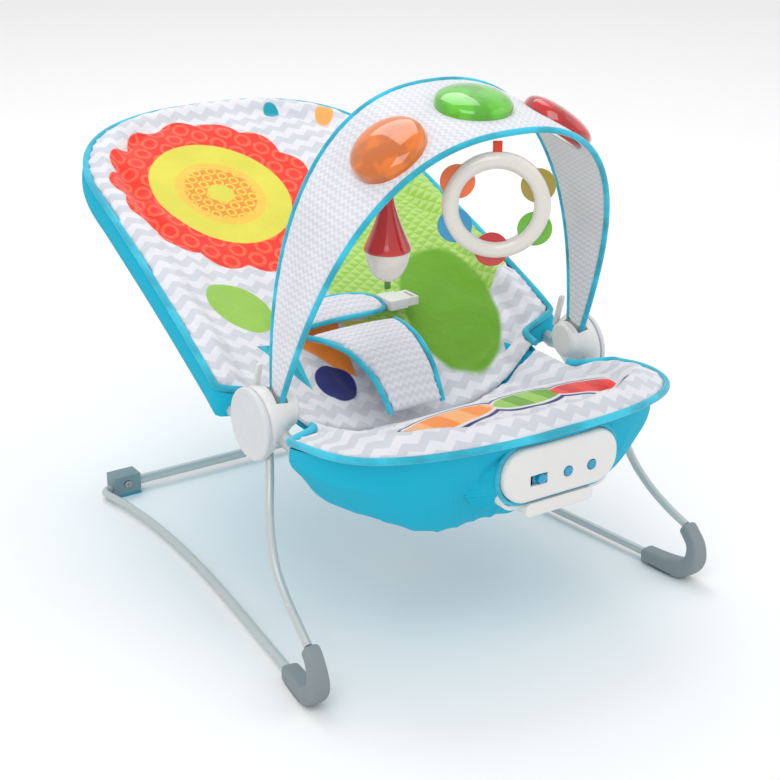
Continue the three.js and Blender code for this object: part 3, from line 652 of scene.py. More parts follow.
@dataclass(frozen=True)
class Wedge(Mark):
    """A convex shape with straight sides: its reach is the greatest distance outside any of its sides."""

    corners: tuple[tuple[float, float], ...] = ()

    def cover(self, shader: Shader) -> bpy.types.NodeSocket:
        """1 inside the shape and 0 outside."""
        here = np.asarray(self.corners, float)
        along = np.roll(here, -1, 0) - here
        area = (here[:, 0] * np.roll(here[:, 1], -1) - here[:, 1] * np.roll(here[:, 0], -1)).sum()
        out = unit(np.stack([along[:, 1], -along[:, 0]], -1)) * np.sign(area)
        reach = None
        for normal, corner in zip(out, here):
            dot = shader.vector("DOT_PRODUCT", shader.where, (*normal, 0.0))
            gap = shader.sum("SUBTRACT", dot, float(normal @ corner))
            reach = gap if reach is None else shader.sum("MAXIMUM", reach, gap)
        return shader.step(reach, self.soft, -self.soft)


@dataclass(frozen=True)
class Printed(Finish):
    """Padded cloth printed with a zigzag and, over it, coloured marks: zigzag bands come from a ramp along the cloth
    that a triangle wave across it pushes back and forth."""

    second: Colour = (1.0, 1.0, 1.0)
    period: float = 20.0
    rise: float = 9.0
    pitch: float = 24.0
    on_cloth: bool = False
    marks: tuple[Mark, ...] = ()

    def zigzag(self, shader: Shader, across: object, along: object) -> bpy.types.NodeSocket:
        """Where the darker bands are, from 0 to 1."""
        wave = shader.sum("PINGPONG", across, self.period / 2)
        ramp = shader.sum("MULTIPLY_ADD", wave, self.rise / (self.period / 2), along)
        band = shader.sum("PINGPONG", ramp, self.pitch / 2)
        middle, edge = self.pitch / 4, self.pitch * 0.03
        return shader.step(band, middle - edge, middle + edge)

    def dress(self, shader: Shader) -> None:
        """The zigzag, the marks one over another, then the weave and a fuzzy sheen."""
        if self.on_cloth:
            flat = shader.add("ShaderNodeAttribute", attribute_name="cloth").outputs["Vector"]
            across, along, _ = shader.parts(flat)
        else:
            x, y, z = shader.parts(shader.where)
            across, along = x, shader.sum("MULTIPLY_ADD", z, 0.45, y)
        colour = shader.mix(self.zigzag(shader, across, along), self.colour, self.second)
        for mark in self.marks:
            colour = shader.mix(mark.cover(shader), colour, mark.ink(shader))
        soft = shader.noise(0.02, 3)
        shaded = shader.vector("SCALE", colour)
        shader.feed(shaded.node.inputs["Scale"], shader.step(soft, 0.25, 0.75, 0.93, 1.02))
        shader.put(Base_Color=shaded, Roughness=self.roughness, Sheen_Weight=0.25, Sheen_Roughness=0.5)
        shader.bump(shader.noise(0.04, 3), 0.6, 4.0)
        Weave(1.9, 0.16).lay(shader, across, along)


WHITE_CLOTH, GREY_CLOTH = srgb(226, 226, 232), srgb(205, 208, 216)
RED, DEEP_RED, PALE_RED = srgb(238, 40, 18), srgb(214, 16, 16), srgb(255, 96, 62)
YELLOW, ORANGE, TEAL = srgb(220, 214, 70), srgb(250, 142, 40), srgb(0, 158, 180)
LEAF, PALE_LEAF, DEEP_GREEN = srgb(150, 198, 78), srgb(178, 216, 118), srgb(104, 166, 28)
NAVY, MIST_CLOTH = srgb(14, 30, 112), srgb(210, 212, 220)


class Palette:
    """Every finish on the seat."""

    WIRE = Painted("painted_wire", srgb(190, 196, 195), 0.34, metal=0.25)
    STEEL = Painted("zinc_steel", srgb(170, 172, 174), 0.28, metal=0.95)
    SHELL = Moulded("shell_plastic", srgb(224, 223, 222), 0.38, coat=0.15)
    COVER = Moulded("cover_plastic", srgb(212, 214, 217), 0.42, grain=0.18)
    BOOT = Moulded("boot_rubber", srgb(136, 146, 150), 0.62, grain=0.3, tone=0.14)
    BRACKET = Moulded("bracket_plastic", srgb(120, 146, 152), 0.5, grain=0.25, tone=0.14)
    FOOT = Moulded("foot_rubber", srgb(28, 148, 178), 0.55, grain=0.25)
    BUTTON = Moulded("button_plastic", srgb(0, 148, 190), 0.28, grain=0.05, coat=0.5)
    PEARL = Moulded("pearl_plastic", srgb(220, 216, 208), 0.25, grain=0.04, tone=0.1, coat=0.7)
    RED_GLOSS = Moulded("red_gloss", srgb(204, 12, 14), 0.14, grain=0.02, tone=0.3, coat=1.0)
    ORANGE_GLOSS = Moulded("orange_gloss", srgb(240, 104, 12), 0.2, grain=0.03, tone=0.2, coat=0.8)
    GREEN_GLOSS = Moulded("green_gloss", srgb(96, 178, 16), 0.2, grain=0.03, tone=0.2, coat=0.8)
    OLIVE_GLOSS = Moulded("olive_gloss", srgb(160, 140, 14), 0.2, grain=0.03, tone=0.2, coat=0.8)
    BLUE_GLOSS = Moulded("blue_gloss", srgb(12, 148, 200), 0.2, grain=0.03, tone=0.2, coat=0.8)
    LENS_ORANGE = Glazed("lens_orange", srgb(255, 132, 6), 0.05)
    LENS_GREEN = Glazed("lens_green", srgb(104, 222, 22), 0.05)
    LENS_RED = Glazed("lens_red", srgb(228, 16, 16), 0.05)
    BOARD = Moulded("circuit_board", srgb(34, 110, 62), 0.5)
    DARK = Moulded("dark_plastic", srgb(46, 48, 52), 0.5)
    PIPING = Woven("piping_cloth", srgb(38, 188, 216), 0.75, pitch=1.2, crease=0.3, on_cloth=True)
    POUCH = Woven("pouch_cloth", srgb(0, 178, 210), 0.8, pitch=1.6, crease=0.9)
    TAPE = Woven("red_tape", srgb(206, 52, 26), 0.7, pitch=1.1, crease=0.2)
    LOOP = Woven("green_tape", srgb(70, 140, 60), 0.7, pitch=1.1, crease=0.2)
    BAND = Printed(
        "band_cloth", WHITE_CLOTH, 0.85, second=MIST_CLOTH, period=7.0, rise=3.4, pitch=7.0, on_cloth=True
    )
    SMALL = Printed("restraint_cloth", WHITE_CLOTH, 0.85, second=MIST_CLOTH, period=8.0, rise=3.6, pitch=8.0)
    SEAT = Printed(
        "seat_cloth",
        WHITE_CLOTH,
        0.85,
        second=GREY_CLOTH,
        marks=(
            Oval(NAVY, (-75, -47), (60, 25), 4),
            Oval(NAVY, (12, -48), (44, 24), 2),
            Oval(NAVY, (80, -52), (45, 23), -4),
            Oval(WHITE_CLOTH, (-75, -46), (55, 21.5), 4),
            Oval(WHITE_CLOTH, (12, -47), (40, 20.5), 2),
            Oval(WHITE_CLOTH, (79, -51), (41, 19.5), -4),
            Oval(ORANGE, (-73, -45), (50, 18), 4, fill=Fill.STRIPES, second=srgb(255, 178, 104), pitch=44),
            Oval(DEEP_GREEN, (13, -46), (37, 17.5), 2, fill=Fill.STRIPES, second=LEAF, pitch=34),
            Oval(DEEP_RED, (77, -50), (36, 16.5), -4, fill=Fill.STRIPES, second=RED, pitch=32),
        ),
    )
    BACK = Printed(
        "back_cloth",
        WHITE_CLOTH,
        0.85,
        second=GREY_CLOTH,
        marks=(
            # a plain round flower
            Oval(RED, (-52, 425), (112, 108), fill=Fill.LATTICE, second=PALE_RED, pitch=22, scallops=7, depth=0.09),
            Oval(YELLOW, (-52, 425), (78, 76)),
            Oval(srgb(244, 196, 72), (-52, 425), (50, 48)),
            Oval(ORANGE, (-52, 425), (40, 38), fill=Fill.LATTICE, second=YELLOW, pitch=13),
            Oval(YELLOW, (-52, 425), (15, 14)),
            # a leaf-green hill with a darker one in front
            Oval(LEAF, (122, 312), (138, 106), 24, fill=Fill.TRIANGLES, second=PALE_LEAF, pitch=9),
            Oval(DEEP_GREEN, (108, 214), (50, 76), -12, soft=3),
            # small plain shapes along the fold and the head
            Oval(LEAF, (-118, 264), (34, 30), -30),
            Wedge(ORANGE, corners=((-96, 232), (-20, 236), (-36, 172))),
            Wedge(TEAL, corners=((-126, 216), (-84, 220), (-92, 164)), fill=Fill.STRIPES,
                  second=srgb(30, 186, 204), pitch=14),
            Wedge(YELLOW, corners=((-16, 234), (26, 228), (2, 176))),
            Oval(NAVY, (-62, 170), (22, 20), 10),
            Oval(TEAL, (76, 538), (9, 9)),
            Oval(srgb(250, 170, 90), (134, 514), (11, 11)),
        ),
    )


def finish_piece(
    piece: bpy.types.Object, body: str, slot: str, finish: Finish, *stands_for: str
) -> bpy.types.Object:
    """Gives a piece its finish and its body, and hides the CAD nodes it stands for.

    Args:
        piece: the finished mesh object.
        body: the CAD body it rides on.
        slot: the record's material slot; not used.
        finish: its finish.
        stands_for: the CAD nodes that it replaces.

    Returns:
        The piece.
    """
    piece.data.materials.clear()
    piece.data.materials.append(finish.material())
    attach(piece, body)
    if stands_for:
        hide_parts(*stands_for)
    LOG.info("%s rides on %s: %d faces", piece.name, body, len(piece.data.polygons))
    return piece


class Hand(Enum):
    """The two sides of the seat; the value turns the left one's X into its own."""

    LEFT = 1
    RIGHT = -1

    @property
    def label(self) -> str:
        """The side's name in a piece's name."""
        return self.name.lower()

    def turn(self, points: Sequence[Sequence[float]] | Array) -> Array:
        """Points given for the left side, on this side."""
        return np.asarray(points, float) * (self.value, 1, 1)


# ---------------------------------------------------------------- base


@dataclass(frozen=True)
class Base:
    """The sprung wire base: two floor rails, the rear tube between its brackets, and two boots."""

    wire: float = 4.25
    cross: float = 5.5
    rail_z: float = 9.0
    rear_y: float = 456.0
    bracket_x: float = 158.0
    boot_half: tuple[float, float] = (10.0, 8.8)

    def rail(self, hand: Hand) -> None:
        """A floor wire from its boot back to its bracket."""
        flat = ((-217, 6), (-209, 74), (-199, 160), (-191, 249), (-189, 340), (-194, 408), (-200, 444), (-197, 454),
                (-190, 456), (-177, 456))
        points = [(x, y, self.rail_z) for x, y in flat]
        path = even(smooth_line(hand.turn(points)), 150)
        piece = tube(f"floor_wire_{hand.label}", path, self.wire, (0, 0, 1))
        finish_piece(piece, "base", "wire", Palette.WIRE, f"rail_wire_{hand.label}")

    def boot(self, hand: Hand) -> None:
        """A rubber boot round the wire's front bend: a boxy section along the bend, fuller at the toe, flat where it
        stands on the floor, with a grip slot cut along its sole."""
        z = self.rail_z - 0.4
        bend = [(-217, 4, z), (-221, -28, z), (-224, -50, 13), (-225, -62, 26), (-225.5, -62, 42), (-224.6, -54, 54),
                (-224.6, -47, 60)]
        path = even(smooth_line(hand.turn(bend)), 90)
        share = np.linspace(0, 1, len(path))
        grow = 0.90 + 0.16 * np.sin(np.pi * np.clip(share * 1.15, 0, 1)) ** 1.5 - 0.1 * ease(share, 0.55, 0.95)
        lips = np.minimum(1, 0.72 + 0.28 * np.sqrt(np.clip(np.minimum(share, 1 - share) / 0.03, 0, 1)))
        section = superellipse(self.boot_half[1], self.boot_half[0], 4.5, 40)
        piece = swept(f"boot_{hand.label}", path, section, (1, 0, 0), grow * lips)
        points = vertices_of(piece)
        points[:, 2] = np.maximum(points[:, 2], 0)
        points[:, 0] = np.clip(points[:, 0], -236, 236)
        points[:, 1] = np.maximum(points[:, 1], -72.3)
        set_vertices(piece, points)
        x = -224.6 * hand.value
        cut(piece, [block("slot_cutter", (x - 20, -41, 2.6), (x + 20, -7, 4.2))])
        finish_piece(piece, "base", "foot_grey", Palette.BOOT, f"foot_boot_{hand.label}")

    def rear(self, hand: Hand) -> None:
        """A rear bracket and its foot."""
        side = hand.label
        bracket = softened(f"bracket_{side}", f"rear_bracket_{side}", 1.6)
        finish_piece(bracket, "base", "foot_grey", Palette.BRACKET, f"rear_bracket_{side}")
        foot = softened(f"foot_{side}", f"rear_foot_pad_{side}", 0.7)
        finish_piece(foot, "base", "foot_teal", Palette.FOOT, f"rear_foot_pad_{side}")

    def build(self) -> None:
        """Both sides and the tube between them."""
        for hand in Hand:
            self.rail(hand)
            self.boot(hand)
            self.rear(hand)
        reach = self.bracket_x + 12.7
        path = lerp(np.array([-reach, self.rear_y, 12.0]), np.array([reach, self.rear_y, 12.0]),
                    np.linspace(0, 1, 40)[:, None])
        piece = tube("rear_tube", path, self.cross, (0, 0, 1))
        finish_piece(piece, "base", "wire", Palette.WIRE, "rear_cross_tube")


# ---------------------------------------------------------------- legs and hubs


@dataclass(frozen=True)
class Hubs:
    """The two legs and the hubs that clamp them to the seat tubes."""

    z: float = 218.5
    radius: float = 35.5
    face: float = 201.0
    rim: float = 194.6
    nose: float = 160.0
    nose_radius: float = 20.0
    lean: tuple[float, float] = (-12.0, 15.5)
    wire: float = 4.25

    def leg(self, hand: Hand) -> None:
        """A leg from its boot up into its hub."""
        bends = [(-224.6, -46.5, 60.3), (-221, -22, 71), (-218, 5, 86), (-215, 28, 106), (-211, 43, 131),
                 (-205.5, 54, 154), (-198.5, 65, 172), (-191.5, 77, 187), (-187, 86, 201)]
        path = even(smooth_line(hand.turn(bends)), 120)
        piece = tube(f"leg_{hand.label}", path, self.wire, (1, 0, 0))
        finish_piece(piece, "seat", "wire", Palette.WIRE, f"leg_wire_{hand.label}")

    def housing(self, hand: Hand) -> None:
        """A turned cone from the cover to a rounded nose, each slice moved forward and up as it nears the nose,
        with the toy bar's slot cut in and its stop post behind the slot."""
        drawing = [(12, self.nose), (self.nose_radius - 5, self.nose + 0.4), (self.nose_radius - 1.6, self.nose + 3),
                   (self.nose_radius, self.nose + 8), (27, self.nose + 18), (self.radius - 2.2, self.rim - 6),
                   (self.radius - 1, self.rim - 1.6), (self.radius - 1, self.rim - 0.4)]
        profile = smooth_line(drawing, 6)
        rings = turned_rings(np.vstack([(4, self.nose), profile, (4, self.rim - 0.4)]), 72)
        inward = (self.rim - rings[..., 2:]) / (self.rim - self.nose)
        flat = np.concatenate([
            -rings[..., 2:],
            rings[..., :1] + HUB_Y + self.lean[0] * inward,
            rings[..., 1:2] + self.z + self.lean[1] * inward,
        ], -1)
        piece = loft(f"hub_body_{hand.label}", hand.turn(flat))
        slot = bar_shape().layer(3.4, -9.4, -2.5, -17, 24, 6, 30)
        cutter = slab_between("slot_cutter", hand.turn(slot[0]), hand.turn(slot[1]))
        cut(piece, [cutter])
        finish_piece(piece, "seat", "shell", Palette.SHELL, f"hub_housing_{hand.label}")
        lean = math.radians(16)
        upward = np.array([0, -math.sin(lean), math.cos(lean)])
        spine = np.array([-179.5, 118, 254]) + np.linspace(-18, 18, 24)[:, None] * upward
        tip = np.minimum(1, 0.6 + 0.4 * np.sqrt(np.clip(np.linspace(1.0, 0, 24) / 0.08, 0, 1)))
        post = swept(f"hub_post_{hand.label}", hand.turn(spine), superellipse(3, 2.25, 5, 28), (0, 1, 0), tip)
        finish_piece(post, "seat", "shell", Palette.SHELL)

    def cover(self, hand: Hand) -> None:
        """The round outer cover: a shallow dish with a soft edge and a raised thumb grip across it."""
        r = self.radius
        profile = [(6, 0), (r - 2, 0), (r - 0.6, 0.6), (r, 1.8), (r, 3.4), (r - 0.6, 5.0), (r - 2.2, 6.0),
                   (r - 5, 6.1), (r - 7, 5.6), (r - 9.5, 5.2), (12, 5.0), (3, 5.0)]
        rings = turned_rings(smooth_line(profile, 5), 96)
        outward = -(rings[..., 2:] + self.rim + 0.3)
        spots = np.concatenate([outward, rings[..., :1] + HUB_Y, rings[..., 1:2] + self.z], -1)
        y, z = spots[..., 1] - HUB_Y, spots[..., 2] - self.z
        reach = (np.abs(y / 15.0) ** 3.2 + np.abs(z / 22.0) ** 3.2) ** (1 / 3.2)
        outside = spots[..., 0] < -(self.rim + 4)
        spots[..., 0] -= np.where(outside, 1.1 * (1 - ease(reach, 0.86, 1.0)), 0)
        piece = loft(f"hub_face_{hand.label}", hand.turn(spots))
        finish_piece(piece, "seat", "shell", Palette.COVER, f"hub_cover_{hand.label}")

    def build(self) -> None:
        """Both sides."""
        for hand in Hand:
            self.leg(hand)
            self.housing(hand)
            self.cover(hand)


def slab_between(name: str, over: Array, under: Array, cloth: Array | None = None) -> bpy.types.Object:
    """A closed sheet between two grids of points that lie over each other: each row becomes a ring that runs out
    over the top and back underneath, and the two end rings are closed straight across.

    Args:
        name: the piece's name.
        over: the outer grid, row by row.
        under: the inner grid, in the same order.
        cloth: flat-cloth places of the outer grid.

    Returns:
        The object.
    """
    rings = np.concatenate([over, under[:, ::-1]], 1)
    m, n, _ = rings.shape
    i = np.arange(m - 1)[:, None]
    j = np.arange(n)[None]
    k = (j + 1) % n
    sides = np.stack([i * n + j, i * n + k, (i + 1) * n + k, (i + 1) * n + j], -1).reshape(-1, 4)
    c = np.arange(n // 2 - 1)
    first = np.stack([c, n - 1 - c, n - 2 - c, c + 1], -1)
    last = first[:, ::-1] + (m - 1) * n
    flat = None
    if cloth is not None:
        flat = np.concatenate([cloth, cloth[:, ::-1]], 1).reshape(-1, 2)
    return make_piece(name, rings.reshape(-1, 3), np.vstack([sides, first, last]), np.zeros((0, 3), int), flat)


# ---------------------------------------------------------------- toy bar


@dataclass(frozen=True)
class BarEdge:
    """One edge of the toy bar's band: a superellipse arch that flares at its feet."""

    half: float
    flare: float
    base: float
    rise: float
    power: float

    def at(self, degrees: Array) -> tuple[Array, Array]:
        """X and Z at an angle from the left hub, 0, over the top, 90, to the right hub, 180."""
        angle = np.clip(degrees, 0, 180)
        c, s = np.cos(np.radians(angle)), np.maximum(0, np.sin(np.radians(angle)))
        height = s ** (2 / self.power)
        half = self.half + self.flare * (1 - height) ** 3
        x = -half * np.sign(c) * np.abs(c) ** (2 / self.power)
        return x, self.base + self.rise * height - np.abs(degrees - angle)


@dataclass(frozen=True)
class BarShape:
    """The ruled surface of the band, between a front edge that leans forward and an upright rear edge."""

    front: BarEdge = BarEdge(174, 6.4, 243.5, 256, 2.45)
    rear: BarEdge = BarEdge(178, 1, 252, 270, 2.35)
    front_y: float = 77.4
    lean: float = -0.42
    rear_y: float = 96.0

    def point(self, degrees: Array, across: Array) -> Array:
        """The ruled surface: a straight line from the front edge, across 0, to the rear edge, across 1."""
        fx, fz = self.front.at(degrees)
        rx, rz = self.rear.at(degrees)
        front = np.stack([fx, self.front_y + self.lean * (fz - self.front.base), fz], -1)
        rear = np.stack([rx, np.full_like(rx, self.rear_y), rz], -1)
        return lerp(front, rear, np.asarray(across)[..., None])

    def normal(self, degrees: Array, across: Array) -> Array:
        """Outwards and square to the surface: the step along the arch crossed with the step over it."""
        a = np.clip(degrees, 1, 179)
        along = self.point(a + 0.5, across) - self.point(a - 0.5, across)
        over = self.point(a, np.ones_like(a)) - self.point(a, np.zeros_like(a))
        return unit(np.cross(along, over))

    def width(self, degrees: Array) -> Array:
        """The length of the straight line across the band."""
        zero = np.zeros_like(degrees)
        return np.linalg.norm(self.point(degrees, zero + 1) - self.point(degrees, zero), axis=-1)

    def layer(
        self, outer: float, inner: float, margin: float, start: float, stop: float, columns: int, rows: int
    ) -> tuple[Array, Array]:
        """Two grids over a stretch of the band, at two depths outwards from its ruled face, a margin in from its
        edges."""
        angle = np.broadcast_to(np.linspace(start, stop, rows)[:, None], (rows, columns))
        edge = np.minimum(0.4, margin / self.width(angle))
        across = edge + (1 - 2 * edge) * np.linspace(0, 1, columns)[None]
        face, out = self.point(angle, across), self.normal(angle, across)
        return face + out * outer, face + out * inner


@lru_cache(maxsize=1)
def bar_shape() -> BarShape:
    """The one toy bar's shape."""
    return BarShape()


@dataclass(frozen=True)
class Dome:
    """One glossy dome on the band."""

    label: str
    degrees: float
    across: float
    lens: Finish
    gloss: Finish


@dataclass(frozen=True)
class ToyBar:
    """The padded band over the seat, with its piping, its three domes and their undersides."""

    thick: float = 3.4
    middle: float = -3.4
    piping: float = 2.9
    radius: float = 36.0
    domes: tuple[Dome, ...] = (
        Dome("orange", 62, 0.38, Palette.LENS_ORANGE, Palette.ORANGE_GLOSS),
        Dome("green", 90, 0.46, Palette.LENS_GREEN, Palette.GREEN_GLOSS),
        Dome("red", 118, 0.38, Palette.LENS_RED, Palette.RED_GLOSS),
    )

    def band(self) -> None:
        """The padded band: at each angle a flat lens-shaped section between the two edges, whose depth is a
        superellipse of the way across, puckered a little beside the piping."""
        shape = bar_shape()
        section = superellipse(1, 1, 2.6, 56)
        rows = 260
        angle = np.broadcast_to(np.linspace(0.4, 179.6, rows)[:, None], (rows, len(section)))
        width = shape.width(angle)
        half = 0.5 - np.minimum(0.3, 1.4 / width)
        across = 0.5 + half * section[None, :, 0]
        run = np.concatenate([[0], np.cumsum(np.linalg.norm(np.diff(shape.point(angle[:, 0], 0 * angle[:, 0] + 0.5),
                                                                    axis=0), axis=1))])[:, None]
        pucker = 0.35 * np.sin(run / 2.6) * np.abs(section[None, :, 0]) ** 6
        depth = self.middle + section[None, :, 1] * (self.thick + pucker)
        rings = shape.point(angle, across) + shape.normal(angle, across) * depth[..., None]
        flat = np.stack([across * width, np.broadcast_to(run, across.shape)], -1)
        piece = loft("toy_bar_band", rings, flat)
        finish_piece(piece, "toy_bar", "pad_cloth", Palette.BAND, "toy_bar_cover_outer", "toy_bar_cover_inner")

    def edges(self) -> None:
        """Piping along both edges of the band."""
        shape = bar_shape()
        angle = np.linspace(0, 180, 260)
        for label, across in (("front", 0.0), ("rear", 1.0)):
            path = shape.point(angle, angle * 0 + across) + shape.normal(angle, angle * 0 + across) * self.middle
            piece = tube(f"bar_piping_{label}", even(path, 260), self.piping, (0, 1, 0.15), 16, cloth=True)
            finish_piece(piece, "toy_bar", "pouch_cloth", Palette.PIPING)

    def dome(self, dome: Dome) -> None:
        """A clear shallow dome with a rolled rim, a moulded relief of rings and petals under it, and a low boss on
        the underside of the band. Height follows the quarter-circle of the radius, and the relief is a cosine of
        the bearing that fades towards the rim."""
        shape = bar_shape()
        angle, across = np.array([dome.degrees]), np.array([dome.across])
        up = shape.normal(angle, across)[0]
        at = shape.point(angle, across)[0]
        turn = np.radians(np.linspace(0, 88, 22))
        shell = np.stack([self.radius * np.cos(turn) ** 0.75, 1.8 + 12 * np.sin(turn)], -1)
        r = self.radius
        rim = [(r - 1.2, -5.0), (r + 0.2, -4.2), (r + 0.4, 0.2), (r + 0.2, 1.2)]
        rings = turned_rings(np.vstack([(20, -5.0), rim, shell[1:]]), 96)
        lens = loft(f"dome_lens_{dome.label}", stand(rings, at, up))
        finish_piece(lens, "toy_bar", "gloss_" + dome.label, dome.lens, "dome_" + dome.label)
        radii = np.linspace(1.0, 29, 34)
        rings = turned_rings(np.stack([radii, 2.0 + 4.4 * np.cos(radii / 29 * np.pi / 2)], -1), 96)
        bearing = np.arctan2(rings[..., 1], rings[..., 0])
        reach = np.hypot(rings[..., 0], rings[..., 1]) / 29
        petals = 1.5 * ease(np.cos(5 * bearing) - 3 * np.abs(reach - 0.55), -0.3, 0.6)
        inner_ridge = 0.9 * np.exp(-(((reach - 0.22) / 0.06) ** 2))
        outer_ridge = 0.9 * np.exp(-(((reach - 0.9) / 0.05) ** 2))
        rings[..., 2] += petals + inner_ridge + outer_ridge
        base = turned_rings([(29, 0.5), (3, 0.5)], 96)
        relief = loft(f"dome_relief_{dome.label}", stand(np.concatenate([rings, base]), at, up))
        finish_piece(relief, "toy_bar", "gloss_" + dome.label, dome.gloss)
        under = [(31.5, -6.2), (31.5, -8.2), (30, -9.8), (26, -10.8), (16, -11.6), (5, -11.9)]
        rings = turned_rings(smooth_line([(10, -6.2), *under], 5), 72)
        boss = loft(f"dome_under_{dome.label}", stand(rings, at, up))
        finish_piece(boss, "toy_bar", "gloss_" + dome.label, dome.lens)

    def build(self) -> None:
        """The band, its piping and its domes."""
        self.band()
        self.edges()
        for dome in self.domes:
            self.dome(dome)


# ---------------------------------------------------------------- hanging toys


@dataclass(frozen=True)
class RingToy:
    """The hanging ring: two half rings that hold five discs between them, on a strap."""

    major: float = 40.8
    minor: float = 7.6
    centre: Point = (-15.0, -30.0, 433.0)
    facing: float = -33.0
    hang: float = 491.0
    disc: float = 15.6
    thick: float = 3.0
    discs: tuple[tuple[str, float, str, Finish], ...] = (
        ("olive", 26, "disc_olive", Palette.OLIVE_GLOSS),
        ("orange", 148, "gloss_orange", Palette.ORANGE_GLOSS),
        ("blue", 207, "disc_blue", Palette.BLUE_GLOSS),
        ("red", 265, "gloss_red", Palette.RED_GLOSS),
        ("green", 328, "gloss_green", Palette.GREEN_GLOSS),
    )

    def on_ring(self, rings: Array) -> Array:
        """Rings modelled about the middle facing -Y, turned about the strap and put in place."""
        a = math.radians(self.facing)
        turn = np.array([[math.cos(a), math.sin(a), 0], [-math.sin(a), math.cos(a), 0], [0, 0, 1]])
        return rings @ turn + np.asarray(self.centre)

    def disc_rings(self, degrees: float, radius: float, half: float, edge: float) -> Array:
        """A round-edged disc about a pin on the ring's centre line."""
        a = math.radians(degrees)
        cut_in = 0.3 * edge
        lower = [(3, -half), (radius - edge, -half), (radius - cut_in, -half + cut_in), (radius, -half + edge)]
        profile = lower + [(reach, -depth) for reach, depth in reversed(lower)]
        at = (self.major * math.cos(a), 0, self.major * math.sin(a))
        return self.on_ring(stand(turned_rings(profile, 56), at, (0, 1, 0)))

    def half(self, side: int) -> bpy.types.Object:
        """Half of a torus, cut along the ring's own plane and for the discs; a shallow step marks the joint."""
        turn = np.linspace(0, 2 * np.pi, 120, endpoint=False)
        tip = np.linspace(0, np.pi, 17)
        out, lift = np.cos(tip) * self.minor, np.sin(tip) * self.minor * side + 0.15 * side
        shrink = 1 - 0.02 * (np.abs(lift) < 0.4)
        reach = self.major + out * shrink
        section = np.stack([reach[None] * np.cos(turn)[:, None], np.broadcast_to(lift, (120, 17)),
                            reach[None] * np.sin(turn)[:, None]], -1)
        name = "ring_half_front" if side < 0 else "ring_half_back"
        piece = loft(name, self.on_ring(section), closed=True)
        cutters = [
            loft("disc_cutter", self.disc_rings(d, self.disc + 0.5, self.thick / 2 + 0.4, 0.2))
            for _, d, _, _ in self.discs
        ]
        return cut(piece, cutters)

    def build(self) -> None:
        """The halves, the discs and the strap."""
        for side, node in ((-1, "ring_front"), (1, "ring_back")):
            finish_piece(self.half(side), "ring", "pearl", Palette.PEARL, node)
        for label, degrees, slot, finish in self.discs:
            piece = loft(f"disc_{label}", self.disc_rings(degrees, self.disc, self.thick / 2, 0.9))
            finish_piece(piece, f"disc_{label}", slot, finish, f"ring_disc_{label}")
        low, top = self.major + self.minor - 5, self.hang - self.centre[2]
        z = np.linspace(low, top, 40)
        path = self.on_ring(np.stack([0 * z, 0 * z, z], -1))
        across = (math.cos(math.radians(self.facing)), math.sin(math.radians(self.facing)), 0)
        strap = swept("ring_tape", path, superellipse(0.8, 4.2, 6, 32), across)
        finish_piece(strap, "ring", "strap_red", Palette.TAPE, "ring_strap")


@dataclass(frozen=True)
class Maraca:
    """The hanging maraca: a flared cap over a round bulb, on a strap, with a loop below."""

    x: float = -79.0
    y: float = 48.0
    hang: float = 484.0
    neck: float = 444.0
    wide: float = 382.0
    low: float = 352.0
    radius: float = 22.0

    def turned(self, name: str, profile: Sequence[Sequence[float]]) -> bpy.types.Object:
        """A turned piece on the maraca's axis."""
        return loft(name, stand(turned_rings(profile, 72), (self.x, self.y, 0), (0, 0, 1)))

    def build(self) -> None:
        """The cap's side is a smooth line through its widths; the bulb's is an ellipse's lower quarter."""
        r, w = self.radius, self.wide
        side = [(r - 0.6, w), (r, w + 1.2), (r - 0.7, w + 4), (r - 4.2, w + 12), (r * 0.55, w + 26),
                (r * 0.32, w + 42), (r * 0.22, self.neck - 6), (3.9, self.neck - 1.2), (2.0, self.neck)]
        cap = self.turned("maraca_top", np.vstack([(4, w), (r - 2, w), smooth_line(side, 8)]))
        finish_piece(cap, "maraca", "gloss_red", Palette.RED_GLOSS, "maraca_cap")
        turn = np.radians(np.linspace(-86, 0, 26))
        top = w - 0.3
        bulb = np.stack([(r - 1.6) * np.cos(turn), top + (top - self.low) * np.sin(turn)], -1)
        piece = self.turned("maraca_ball", np.vstack([bulb, (r - 3, top), (4, top)]))
        finish_piece(piece, "maraca", "pearl", Palette.PEARL, "maraca_bulb")
        for name, low, high, half, deep, slot, finish, node in (
            ("maraca_tape", self.neck + 0.3, self.hang, 3.5, 0.8, "strap_red", Palette.TAPE, "maraca_strap"),
            ("maraca_tail", self.low - 7.4, self.low - 0.4, 3.0, 1.0, "gloss_green", Palette.LOOP, "maraca_loop"),
        ):
            z = np.linspace(low, high, 24)
            path = np.stack([0 * z + self.x, 0 * z + self.y, z], -1)
            tape = swept(name, path, superellipse(deep, half, 6, 32), (1, 0, 0))
            finish_piece(tape, "maraca", slot, finish, node)


# ---------------------------------------------------------------- soft goods


@dataclass(frozen=True)
class EndShape:
    """How one end of the seat is rounded: where it ends, where the rounding starts and its exponent."""

    y: float
    bend: float
    power: float


